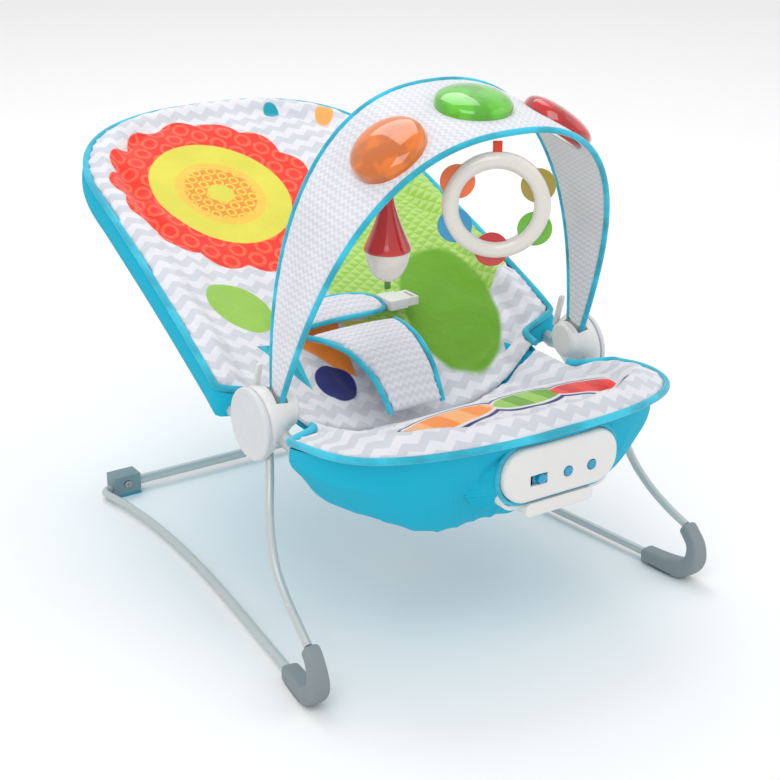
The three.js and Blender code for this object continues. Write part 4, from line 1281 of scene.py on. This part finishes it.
@dataclass(frozen=True)
class SeatShape:
    """The pads' common shape: an outline, a rim line along it and a sag along the middle."""

    front: EndShape = EndShape(-121, 12, 2.4)
    head: EndShape = EndShape(575, 428, 2.5)
    front_half: float = 191.0
    back_half: float = 203.0
    taper: float = 14.0
    neck: float = 152.0
    neck_reach: float = 62.0
    fold: float = 118.0
    thick: float = 14.0
    hem: float = 6.0
    rim_line: Pairs = ((-122, 246), (-60, 234.5), (0, 227.5), (60, 219), (130, 224), (190, 253), (300, 302),
                       (400, 342), (500, 379), (577, 405))
    sag_line: Pairs = ((-122, 252), (-80, 255), (-35, 249), (0, 222), (60, 187), (112, 172), (150, 187), (219, 228),
                       (300, 274), (400, 324), (500, 370), (577, 407))

    def pick(self, y: Array, back: float, front: float) -> Array:
        """One value behind the fold and another before it."""
        return np.where(y > self.fold, back, front)

    def end_share(self, y: Array) -> Array:
        """0 in the straight stretch and 1 at either end."""
        end, bend = self.pick(y, self.head.y, self.front.y), self.pick(y, self.head.bend, self.front.bend)
        return np.maximum(0, (y - bend) / (end - bend))

    def straight_half(self, y: Array) -> Array:
        """Half the width without the end rounding, drawn in between the hubs."""
        along = np.clip((y - 150) / (self.head.bend - 150), 0, 1)
        full = self.pick(y, 1, 0) * (self.back_half - self.taper * along) + self.pick(y, 0, 1) * self.front_half
        return lerp(self.neck, full, ease(np.minimum(1, np.abs(y - HUB_Y) / self.neck_reach), 0.62, 1))

    def power(self, y: Array) -> Array:
        """The end rounding's exponent."""
        return self.pick(y, self.head.power, self.front.power)

    def share(self, x: Array, y: Array) -> Array:
        """0 in the middle and 1 on the rim."""
        p = self.power(y)
        reach = ((np.abs(x) / self.straight_half(y)) ** p + self.end_share(y) ** p) ** (1 / p)
        return np.minimum(1, reach)

    def half(self, y: Array) -> Array:
        """Half the width."""
        p = self.power(y)
        return self.straight_half(y) * np.maximum(0, 1 - np.minimum(1, self.end_share(y)) ** p) ** (1 / p)

    def rim(self, y: Array) -> Array:
        """The rim's height."""
        return through(self.rim_line, y)

    def top(self, x: Array, y: Array) -> Array:
        """The pad's face: the sag, plus the cube of the share times the way up to the rim, rolled over at the rim."""
        share, sag = self.share(x, y), through(self.sag_line, y)
        return sag + (self.rim(y) + 7 - sag) * share**3 - 5 * share**12

    def under(self, x: Array, y: Array) -> Array:
        """The pad's underside, which thins towards the hem."""
        return self.top(x, y) - self.thick + (self.thick - self.hem) * self.share(x, y) ** 5

    def outline(self, end: float, count: int, gap: float = 0.5) -> Array:
        """The pad's outline from the fold round the end and back, as x and y, closed along the fold.

        Args:
            end: the end's y.
            count: how many points.
            gap: how far the pad stays off the fold.

        Returns:
            The points, at equal steps.
        """
        start = self.fold + gap * np.sign(end - self.fold)
        y = lerp(start, end, np.sin(np.linspace(0, 1, 400) * np.pi / 2))
        x = self.half(y)
        run = lerp(x[0], -x[0], np.linspace(0, 1, 60)[1:-1])
        fold = np.stack([run, run * 0 + start], -1)
        loop = np.concatenate([np.stack([-x, y], -1), np.stack([x, y], -1)[::-1], fold])
        return even(loop, count, closed=True)

    def edge(self, start: float, end: float, count: int, out: float, drop: float) -> Array:
        """The line that the piping follows round an end, a little outside the rim and below the face."""
        y = lerp(start, end, np.sin(np.linspace(0, 1, 500) * np.pi / 2))
        x = self.half(y)
        flat = even(np.concatenate([np.stack([-x, y], -1), np.stack([x, y], -1)[::-1]]), count)
        ahead = unit(np.gradient(flat, axis=0))
        outward = np.stack([ahead[:, 1], -ahead[:, 0]], -1)
        outward *= np.sign((outward * (flat - flat.mean(0))).sum())
        moved = flat + outward * out
        return np.column_stack([moved, self.top(flat[:, 0], flat[:, 1]) - drop])


SEAT_SHAPE = SeatShape()


@dataclass(frozen=True)
class Pad:
    """One padded panel: its end, its middle, the cells of its remesh and how far simulation may swell it."""

    name: str
    node: str
    end: float
    middle: tuple[float, float]
    finish: Finish
    seam: float = 0.8
    voxel: float = 4.5
    swell: float = 8.0
    roll: float = 8.0
    fill: float = 0.55

    def body(self) -> bpy.types.Object:
        """The closed panel before it swells: rings from the middle of the face out to the rim and back underneath,
        each the outline scaled about the middle, at the height that the seat's shape gives there."""
        loop = SEAT_SHAPE.outline(self.end, 220)
        middle = np.asarray(self.middle)
        shares = np.concatenate([np.linspace(0.04, 0.9, 26), np.linspace(0.92, 1.0, 7)])
        reach = np.linalg.norm(loop - middle, axis=1)
        inner = middle + (loop - middle) * (1 - 1.6 / reach)[:, None]
        flat = middle + (inner - middle)[None] * shares[:, None, None]
        x, y = flat[..., 0], flat[..., 1]
        face = np.stack([x, y, SEAT_SHAPE.top(x, y) - 2.2 * (1 - shares[:, None] ** 6)], -1)
        back = np.stack([x, y, SEAT_SHAPE.under(x, y) + 1.2], -1)
        return loft(self.name, np.concatenate([face, back[::-1]]))

    def puff(self, piece: bpy.types.Object) -> None:
        """Swells the panel: cloth under air pressure without gravity for 20 frames, held along its rim, and no
        point moved further than the limit."""
        before = vertices_of(piece)
        share = SEAT_SHAPE.share(before[:, 0], before[:, 1])
        held = piece.vertex_groups.new(name="held")
        near_fold = np.abs(before[:, 1] - SEAT_SHAPE.fold) < 5
        held.add(np.flatnonzero((share > 0.955) | near_fold).tolist(), 1.0, "REPLACE")
        inflate(piece, 4.0)
        swollen = vertices_of(piece)
        normals = np.empty(len(before) * 3, np.float32)
        piece.data.vertices.foreach_get("normal", normals)
        lifted = normals.reshape(-1, 3)[:, 2] > 0
        limit = np.where(lifted, self.swell, 1.0)
        set_vertices(piece, capped(before, swollen, limit))

    def stitch(self, piece: bpy.types.Object) -> None:
        """Sinks a sewn channel along the seam line, raises the stuffed roll outside it and gathers the cloth in short
        ripples beside the piping."""
        spots = vertices_of(piece)
        x, y, z = spots.T
        share = SEAT_SHAPE.share(x, y)
        face = z > (SEAT_SHAPE.top(x, y) + SEAT_SHAPE.under(x, y)) / 2
        depth = 4.5 * np.exp(-(((share - self.seam) * 190 / 5.5) ** 2)) * ease(np.abs(x), 40, 90)
        roll = self.roll * np.exp(-(((share - self.seam - 0.1) / 0.07) ** 2)) * ease(np.abs(y - HUB_Y), 34, 62)
        bearing = np.arctan2(y - self.middle[1], x - self.middle[0]) * 190
        gathers = 0.7 * np.sin(bearing / 3.4 + 2 * np.sin(bearing / 41)) * np.exp(-(((share - 0.93) / 0.05) ** 2))
        on_slope = ease(share, 0.55, 0.72) * (1 - ease(share, 0.84, 0.95))
        folds = 1.6 * np.sin(x / 9 + y / 17 + 1.3 * np.sin(y / 31)) * on_slope
        spots[:, 2] += np.where(face, gathers - depth + roll + 0.9 * folds, 0)
        set_vertices(piece, spots)

    def build(self) -> None:
        """Makes, swells, stitches and dresses the panel."""
        piece = self.body()
        remesh(piece, self.voxel)
        self.puff(piece)
        self.stitch(piece)
        refine(piece)
        finish_piece(piece, "seat", "pad_cloth", self.finish, self.node)


def remesh(piece: bpy.types.Object, voxel: float) -> None:
    """Gives a piece an even skin of square cells, for simulation."""
    cells = piece.modifiers.new("cells", "REMESH")
    cells.mode = "VOXEL"
    cells.voxel_size = voxel * MM
    keep_result(piece)


def capped(before: Array, after: Array, limit: Array | float) -> Array:
    """The points after a movement, none of them further than the limit from where it was before."""
    moved = after - before
    size = np.maximum(np.linalg.norm(moved, axis=1), 1e-9)
    return before + moved * np.minimum(1, limit / size)[:, None]


def refine(piece: bpy.types.Object) -> None:
    """One smooth subdivision, kept in the mesh."""
    finer = piece.modifiers.new("finer", "SUBSURF")
    finer.levels = finer.render_levels = 1
    keep_result(piece)
    piece.data.polygons.foreach_set("use_smooth", [True] * len(piece.data.polygons))


def inflate(piece: bpy.types.Object, pressure: float) -> None:
    """Runs cloth under pressure on a piece for 20 frames and keeps the result.

    Args:
        piece: a closed, evenly meshed piece, with a vertex group named held where it stays still.
        pressure: the air pressure.
    """
    scene = bpy.context.scene
    scene.frame_set(1)
    cloth = piece.modifiers.new("air", "CLOTH")
    settings = cloth.settings
    settings.quality = 5
    settings.mass = 0.2
    settings.tension_stiffness = settings.compression_stiffness = 12
    settings.bending_stiffness = 1.5
    settings.use_pressure = True
    settings.uniform_pressure_force = pressure
    settings.effector_weights.gravity = 0
    settings.vertex_group_mass = "held"
    cloth.point_cache.frame_start, cloth.point_cache.frame_end = 1, 20
    for step in range(1, 21):
        scene.frame_set(step)
    keep_result(piece)
    scene.frame_set(1)


STRIP_SWELL = 2.0  # the most that the restraint's pad may swell
CLOTH_THICK = 1.3  # the pouch's and the back cover's cloth
BOX_CENTRE = (0.0, 144.6, 87.7)  # the box under the seat
BOX_LEAN = -18.0
BOX_ROOM = (50.0, 30.0, 22.0)  # half of the room that the pouch leaves it


@dataclass(frozen=True)
class Bowl:
    """The pouch's shape: where its middle lies, how far it reaches, and how its wall rises."""

    middle_y: float = 25.0
    to_front: float = 143.0
    to_back: float = 112.0
    half: float = 190.0
    bottom: float = 126.0
    power: float = 2.15
    side_steepness: float = 6.6
    front_steepness: float = 3.4
    lift: float = 27.0
    tube_z: float = 200.0
    tube_room: float = 7.5

    def surface(self, turn: Array, share: Array) -> Array:
        """The bowl's outside at a bearing and a share of the way from its middle to its rim. The plan is a
        superellipse; the height is a power of the share, steep at the sides and easier in front, with a squared
        sine that draws it up at the sides and the back; a Gaussian in height widens it round the seat tube."""
        c, s = np.cos(turn), np.sin(turn)
        reach = np.where(s < 0, self.to_front, self.to_back)
        y = self.middle_y + share * reach * np.sign(s) * np.abs(s) ** (2 / self.power)
        wide = np.minimum(self.half, SEAT_SHAPE.straight_half(y) - 1)
        x = share * wide * np.sign(c) * np.abs(c) ** (2 / self.power)
        rim = np.minimum(SEAT_SHAPE.rim(y) + 0.5, SEAT_SHAPE.under(x, y) - 1)
        steep = self.side_steepness - (self.side_steepness - self.front_steepness) * ease(-s, 0.6, 0.98)
        drawn_up = self.lift * np.sin(np.pi * share) ** 2 * (1 - ease(-s, 0.2, 0.85))
        z = lerp(self.bottom, rim, share**steep) + drawn_up
        round_tube = self.tube_room * np.exp(-(((z - self.tube_z) / 14) ** 2)) * ease(np.abs(c), 0.6, 0.9)
        return np.stack([x + np.sign(c) * round_tube, y, z], -1)


def lean_about_x(points: Array, degrees: float) -> Array:
    """Points turned about the X axis."""
    c, s = math.cos(math.radians(degrees)), math.sin(math.radians(degrees))
    return points @ np.array([[1, 0, 0], [0, c, s], [0, -s, c]])


@dataclass(frozen=True)
class SoftGoods:
    """The pads, their piping, the cover behind the back, the pouch under the seat and the restraint."""

    piping: float = 3.5
    pads: tuple[Pad, ...] = (
        Pad("seat_cushion", "seat_pad", -120.4, (0, 10), Palette.SEAT, seam=0.74, roll=10.0),
        Pad("back_cushion", "back_pad", 574.4, (0, 350), Palette.BACK, seam=0.8),
    )

    def edging(self) -> None:
        """Piping round the head end and round the foot end."""
        for label, start, end in (("back", 120.0, 574.4), ("seat", 66.0, -120.4)):
            path = SEAT_SHAPE.edge(start, end, 420, 0.2, 2.0)
            piece = tube(f"piping_{label}", path, self.piping, (0, 0, 1), 18, cloth=True)
            finish_piece(piece, "seat", "pouch_cloth", Palette.PIPING)

    def back_cover(self) -> None:
        """The blue cover behind the back, pulled over the seat tube: from the piping it runs out and down round the
        tube, in under it, and on across the back of the pad. Each ring is the pad's outline scaled about its
        middle by the section's outset, at the section's drop below the rim; by the fold the section closes up."""
        middle = np.array([0.0, 350.0])
        loop = SEAT_SHAPE.outline(574.4, 300)
        reach = np.linalg.norm(loop - middle, axis=1)
        wrap = ease(loop[:, 1], 122, 168) * 0.92 + 0.08
        on_rim = wrap * ease(loop[:, 1], 119, 124)
        section = smooth_line([(1.5, 5), (5.0, 13), (5.6, 24), (1.5, 33.5), (-9, 37), (-22, 33), (-40, 25)], 4)
        rows = []
        for out, drop in section:
            flat = middle + (loop - middle) * (1 + out * np.minimum(1, wrap + 0.2) / reach)[:, None]
            rim_side = SEAT_SHAPE.rim(loop[:, 1]) + 2 - drop
            fold_side = SEAT_SHAPE.under(loop[:, 0], loop[:, 1]) - 2.5 - 0.1 * drop
            rows.append(np.column_stack([flat, lerp(fold_side, rim_side, on_rim)]))
        inner = np.linspace(0.78, 0.04, 16)
        for share in inner:
            flat = middle + (loop - middle) * share
            slack = 4 + 6 * share**6 + 1.2 * math.sin(share * 21)
            rows.append(np.column_stack([flat, SEAT_SHAPE.under(flat[:, 0], flat[:, 1]) - slack]))
        over = np.stack(rows)
        normal = unit(np.cross(np.gradient(over, axis=1), np.gradient(over, axis=0)))
        inward = np.sign((normal * (np.array([0, 350, 420.0]) - over)).sum(-1, keepdims=True).mean())
        under = over + normal * inward * CLOTH_THICK
        piece = loft("back_cover", np.concatenate([over[::-1], under]))
        finish_piece(piece, "seat", "pouch_cloth", Palette.POUCH)

    def pouch(self) -> None:
        """The pouch under the seat: the bowl's surface, pleated by a folded sine of the bearing that is strongest
        beside the control unit, doubled inwards by the cloth's thickness, and cut round the unit and the box."""
        turn = np.linspace(0, 2 * np.pi, 360, endpoint=False)[None]
        share = np.concatenate([np.linspace(1, 0.86, 14), np.linspace(0.84, 0.05, 26)])[:, None]
        over = Bowl().surface(turn, share)
        middle = np.array([0, 20, 210.0])
        pleat = 1 - 2 * np.abs(np.sin(16 * turn + 1.5 * np.sin(3 * turn))) ** 0.7
        pleat = pleat * ease(1 - share, 0.01, 0.12) * ease(share, 0.35, 0.8)
        near_unit = 0.2 + 1.9 * np.exp(-(((turn - 1.5 * np.pi) / 0.75) ** 2))
        over += unit(over - middle) * (1.3 * pleat * near_unit)[..., None]
        under = over + unit(middle - over) * CLOTH_THICK
        piece = loft("pouch", np.concatenate([over[::-1], under]))
        cutters = [rounded_plate("unit_cutter", (65.6, 181.4, 237.4), 23, -160, -58)]
        room = block("box_cutter", tuple(-side for side in BOX_ROOM), BOX_ROOM)
        set_vertices(room, lean_about_x(vertices_of(room), BOX_LEAN) + BOX_CENTRE)
        cutters.append(room)
        cut(piece, cutters)
        finish_piece(piece, "seat", "pouch_cloth", Palette.POUCH, "under_seat_pouch")

    def strip(self, name: str, line: Array, half: Array, thick: float, node: str) -> None:
        """A small pad along a line: lens-shaped sections as wide as the line says, with piping down both edges.

        Args:
            name: the piece's name.
            line: the middle line.
            half: half the width along it.
            thick: the pad's thickness.
            node: the CAD node it stands for.
        """
        ahead = unit(np.gradient(line, axis=0))
        up = unit(np.cross(np.broadcast_to([1.0, 0, 0], ahead.shape), ahead))
        section = superellipse(1, 1, 2.6, 48)
        share = np.linspace(0, 1, len(line))
        close = np.clip(np.minimum(share, 1 - share) / 0.03, 0.02, 1) ** 0.5
        across = np.array([1.0, 0, 0])
        rings = (
            line[:, None]
            + across * (half - 1)[:, None, None] * section[None, :, :1]
            + up[:, None] * (thick / 2 - 0.8) * close[:, None, None] * section[None, :, 1:]
        )
        piece = loft(name, rings)
        remesh(piece, 3.2)
        before = vertices_of(piece)
        piece.vertex_groups.new(name="held")
        inflate(piece, 3.0)
        set_vertices(piece, capped(before, vertices_of(piece), STRIP_SWELL))
        refine(piece)
        finish_piece(piece, "seat", "pad_cloth", Palette.SMALL, node)
        for label, side in (("left", -1), ("right", 1)):
            edge = line + across * side * (half + 0.4)[:, None]
            pipe = tube(f"{name}_piping_{label}", even(edge, 140), 2.9, (1, 0, 0), 14, cloth=True)
            finish_piece(pipe, "seat", "pouch_cloth", Palette.PIPING)

    def crotch(self) -> None:
        """The crotch pad, up from the fold to the waist pad."""
        points = [(0, 110, 188), (-2, 117, 204), (-4, 131, 223), (-8, 155, 240), (-12, 184, 246), (-16, 206, 246)]
        line = even(smooth_line(np.array(points, float) - (3.6, 0, 0)), 90)
        share = np.linspace(0, 1, len(line))
        self.strip("crotch_cushion", line, lerp(31, 52, share**1.4), 9, "crotch_pad")

    def waist(self) -> None:
        """The waist pad across the lap: its height falls off as the square of the distance from its middle, and its
        face is a superellipse lens; its piping runs along the lower edge and round the buckle end."""
        section = superellipse(1, 1, 3.0, 120)
        shares = np.concatenate([np.linspace(0.05, 0.9, 16), np.linspace(0.93, 1, 5)])[:, None]
        x = -30 + 61 * section[None, :, 0] * shares
        across = 0.5 + 0.5 * section[None, :, 1] * shares
        y, z = lerp(213, 247, across), lerp(256, 268, across) - 0.0016 * (x + 25) ** 2
        thick = 4.4 * (1 - shares**4) ** 0.5 + 0.4
        rings = np.concatenate([np.stack([x, y, z + thick], -1), np.stack([x, y, z - thick], -1)[::-1]])
        piece = loft("waist_cushion", rings)
        remesh(piece, 3.2)
        refine(piece)
        finish_piece(piece, "seat", "pad_cloth", Palette.SMALL, "waist_pad")
        edge = np.stack([x[-1], y[-1], z[-1]], -1)
        path = np.vstack([edge, edge[:3]])
        pipe = tube("waist_piping", even(path, 260), 2.7, (0, -0.35, 1), 14, cloth=True)
        finish_piece(pipe, "seat", "pouch_cloth", Palette.PIPING)

    def buckle(self) -> None:
        """The buckle's two halves, softened."""
        socket = softened("buckle_body", "buckle_socket", 1.6)
        finish_piece(socket, "seat", "shell", Palette.SHELL, "buckle_socket")
        tongue = softened("buckle_clip", "buckle_tongue", 1.0)
        finish_piece(tongue, "tongue", "shell", Palette.SHELL, "buckle_tongue")

    def build(self) -> None:
        """Every soft piece."""
        for pad in self.pads:
            pad.build()
        self.edging()
        self.back_cover()
        self.pouch()
        self.crotch()
        self.waist()
        self.buckle()


# ---------------------------------------------------------------- control unit and vibration box


def rounded_ring(size: tuple[float, float, float], corner: float, y: float, outset: float = 0.0) -> Array:
    """A rectangle with quarter-circle corners, facing -Y, pushed outwards all round by an outset."""
    half, low, high = size
    turn = np.linspace(0, 2 * np.pi, 200, endpoint=False)
    c, s = np.cos(turn), np.sin(turn)
    x = np.sign(c) * (half - corner) + (corner + outset) * c
    z = np.where(s > 0, high - corner, low + corner) + (corner + outset) * s
    return np.stack([x, np.full_like(x, y), z], -1)


def rounded_plate(
    name: str, size: tuple[float, float, float], corner: float, front: float, back: float, edge: float = 0.0
) -> bpy.types.Object:
    """A plate facing -Y whose outline is a rectangle with quarter-circle corners, its front edge rolled over.

    Args:
        name: the piece's name.
        size: half width, low Z and high Z.
        corner: the corners' radius.
        front: the front face's Y.
        back: the back face's Y.
        edge: the radius of the front edge.

    Returns:
        The object.
    """
    roll = np.linspace(0, np.pi / 2, 8)
    inset = np.concatenate([edge * (1 - np.sin(roll)), [0.0]])
    depth = np.concatenate([edge * (1 - np.cos(roll)) + front, [back]])
    return loft(name, np.stack([rounded_ring(size, corner, y, -gap) for gap, y in zip(inset, depth)]))


@dataclass(frozen=True)
class ControlUnit:
    """The control unit in the front of the pouch: a pillowed cover, its rear case, two buttons and a switch."""

    half: float = 64.0
    low: float = 183.0
    high: float = 236.0
    front: float = -119.5
    seam: float = -109.5
    button_z: float = 204.0
    cap: float = 4.6

    def cover(self) -> None:
        """The front cover, hollowed from behind, with round wells for the buttons and a slot for the switch."""
        piece = rounded_plate("unit_cover", (self.half, self.low, self.high), 25, self.front, self.seam, 4.5)
        inner = rounded_plate("inner_cutter", (self.half - 2.6, self.low + 2.6, self.high - 2.6), 22.4,
                              self.front + 3.2, self.seam + 5)
        cutters = [inner]
        for x in (6.0, 33.0):
            rings = turned_rings([(1, -4), (self.cap + 0.7, -4), (self.cap + 0.7, 8), (1, 8)], 40)
            cutters.append(loft("well_cutter", stand(rings, (x, self.front, self.button_z), (0, 1, 0))))
        cutters.append(block("switch_cutter", (-36.5, self.front - 6, self.button_z - 5.2),
                             (-17.5, self.front + 6, self.button_z + 5.2)))
        cut(piece, cutters)
        finish_piece(piece, "seat", "shell", Palette.SHELL, "unit_front_cover")

    def collar(self) -> None:
        """The pouch's cloth round the unit: rounded rings that widen and drop as they run back from the cover's edge
        into the pouch, rippled by a sine of the bearing that grows towards the back, and piping along the front."""
        size = (self.half + 1.2, self.low - 1.2, self.high + 0.8)
        share = np.linspace(0, 1, 12)
        bearing = np.linspace(0, 2 * np.pi, 200, endpoint=False)
        ripple = np.sin(34 * bearing + 2 * np.sin(5 * bearing))
        rows = []
        for step in share:
            ring = rounded_ring(size, 25.0, self.seam - 1.5 + 28 * step, 0.9 * step * ripple)
            spread = np.array([1 + 0.3 * step**1.4, 1, 1])
            ring = (ring - (0, 0, self.high)) * (spread + (0, 0, 0.24 * step)) + (0, 0, self.high)
            rows.append(ring)
        over = np.stack(rows)
        middle = np.array([0, 0, (self.low + self.high) / 2])
        under = over - unit((over - middle) * (1, 0, 1)) * 1.2
        piece = loft("unit_collar", np.concatenate([over, under[::-1]]), closed=True)
        finish_piece(piece, "seat", "pouch_cloth", Palette.POUCH)
        path = rounded_ring(size, 25.0, self.seam - 1.2, 1.2)
        pipe = tube("unit_piping", even(np.vstack([path, path[:3]]), 240), 2.1, (0, 1, 0), 14, cloth=True)
        finish_piece(pipe, "seat", "pouch_cloth", Palette.PIPING)

    def button(self, label: str, x: float, body: str, node: str) -> None:
        """A push button: a soft-edged cap with a finger dish, over a flange behind the cover."""
        r = self.cap
        profile = [(0.6, 0.55), (r * 0.45, 0.35), (r - 1.5, 0.0), (r - 0.5, 0.5), (r, 1.6), (r, 6.4), (r + 1.4, 6.4),
                   (r + 1.4, 7.4), (1, 7.4)]
        rings = turned_rings(profile, 48)
        piece = loft(f"button_{label}", stand(rings, (x, self.front - 1.8, self.button_z), (0, 1, 0)))
        finish_piece(piece, body, "teal_plastic", Palette.BUTTON, node)

    def build(self) -> None:
        """The unit's outside pieces."""
        self.cover()
        self.collar()
        case = softened("unit_case", "unit_rear_case", 0.8)
        finish_piece(case, "seat", "shell", Palette.SHELL, "unit_rear_case")
        self.button("music", 6.0, "button_middle", "music_button")
        self.button("volume", 33.0, "button_right", "volume_button")
        knob = softened("switch_knob", "power_switch", 0.6)
        finish_piece(knob, "switch", "teal_plastic", Palette.BUTTON, "power_switch")


@dataclass(frozen=True)
class VibrationBox:
    """The box under the seat that holds the motor and its battery, and the neck that hangs it from the seat."""

    edge: float = 4.0
    neck_y: float = 150.0
    neck_low: float = 104.0
    neck_half: tuple[float, float] = (17.0, 9.0)

    def neck(self) -> None:
        """A flat-sided neck from the box's top up into the pad, which widens towards the pad."""
        high = float(SEAT_SHAPE.under(np.zeros(1), np.array([self.neck_y]))[0]) + 3
        z = np.linspace(self.neck_low, high, 30)
        path = np.stack([0 * z, 0 * z + self.neck_y, z], -1)
        flare = 1 + 0.9 * ease(z, high - 26, high) ** 2
        piece = swept("box_neck", path, superellipse(self.neck_half[1], self.neck_half[0], 5, 48), (1, 0, 0), flare)
        finish_piece(piece, "seat", "shell", Palette.SHELL)

    def build(self) -> None:
        """The case and its lid, with rounded edges."""
        case = softened("motor_case", "vibration_case", self.edge / 2)
        finish_piece(case, "seat", "shell", Palette.SHELL, "vibration_case")
        self.neck()
        lid = softened("motor_lid", "vibration_lid", 0.9)
        finish_piece(lid, "seat", "shell", Palette.SHELL, "vibration_lid")


KEPT_NODES: dict[str, Finish] = {
    "bracket_screw_left": Palette.STEEL,
    "bracket_screw_right": Palette.STEEL,
    "front_seat_tube": Palette.WIRE,
    "back_seat_tube": Palette.WIRE,
    "unit_battery_door": Palette.SHELL,
    "circuit_board": Palette.BOARD,
    "speaker": Palette.DARK,
    "lid_screw": Palette.STEEL,
    "battery": Palette.DARK,
    "vibration_motor": Palette.STEEL,
    "motor_weight": Palette.STEEL,
    "toy_bar_bow": Palette.SHELL,
}


def dress_kept_nodes() -> None:
    """Gives the CAD nodes that stay their finishes."""
    for name, finish in KEPT_NODES.items():
        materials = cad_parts[name].data.materials
        if len(materials):
            materials[0] = finish.material()
        else:
            materials.append(finish.material())


# ---------------------------------------------------------------- studio


@dataclass(frozen=True)
class Lamp:
    """One soft square light."""

    name: str
    at: Point
    size: float
    power: float


@dataclass(frozen=True)
class Studio:
    """The pale floor, the soft lights and the camera."""

    eye: Point = (-0.90495, -1.45322, 0.86015)
    target: Point = (-0.1075, -0.22655, 0.26704)
    lens: float = 80.46
    lamps: tuple[Lamp, ...] = (
        Lamp("key", (-1.6, -1.6, 2.6), 1.8, 24),
        Lamp("fill", (2.0, -1.6, 1.7), 2.2, 8),
        Lamp("top", (0.3, 1.2, 2.8), 2.0, 24),
    )

    def aim(self, thing: bpy.types.Object, at: Point, target: Point) -> None:
        """Puts a lamp or camera at a place, looking at a target."""
        thing.location = at
        thing.rotation_euler = (Vector(target) - Vector(at)).to_track_quat("-Z", "Y").to_euler()
        bpy.context.scene.collection.objects.link(thing)

    def build(self) -> None:
        """The whole studio."""
        scene = bpy.context.scene
        camera = bpy.data.cameras.new("camera")
        camera.lens, camera.sensor_width = self.lens, 36.0
        view = bpy.data.objects.new("camera", camera)
        self.aim(view, self.eye, self.target)
        scene.camera = view
        for lamp in self.lamps:
            light = bpy.data.lights.new(lamp.name, "AREA")
            light.energy, light.size = lamp.power, lamp.size
            self.aim(bpy.data.objects.new(lamp.name, light), lamp.at, (0.0, 0.0, 0.25))
        world = bpy.data.worlds.new("studio")
        world.use_nodes = True
        glow = world.node_tree.nodes["Background"]
        glow.inputs["Color"].default_value = (1.0, 1.0, 1.0, 1.0)
        glow.inputs["Strength"].default_value = 0.84
        scene.world = world
        scene.view_settings.view_transform = "Standard"
        corners = np.array([[-6, -6, 0], [6, -6, 0], [6, 6, 0], [-6, 6, 0]], float)
        mesh = bpy.data.meshes.new("floor")
        mesh.from_pydata(corners.tolist(), [], [(0, 1, 2, 3)])
        floor = bpy.data.objects.new("floor", mesh)
        scene.collection.objects.link(floor)
        shader = Shader("floor_paper")
        shader.put(Base_Color=srgb(244, 244, 244), Roughness=0.9)
        mesh.materials.append(shader.material)


def main() -> None:
    """Builds the sub-assemblies in order."""
    logging.basicConfig(level=logging.INFO, format="%(name)s: %(message)s")
    Studio().build()
    dress_kept_nodes()
    for assembly in (Base(), Hubs(), ToyBar(), RingToy(), Maraca(), ControlUnit(), VibrationBox(), SoftGoods()):
        assembly.build()


if __name__ == "__main__":
    main()
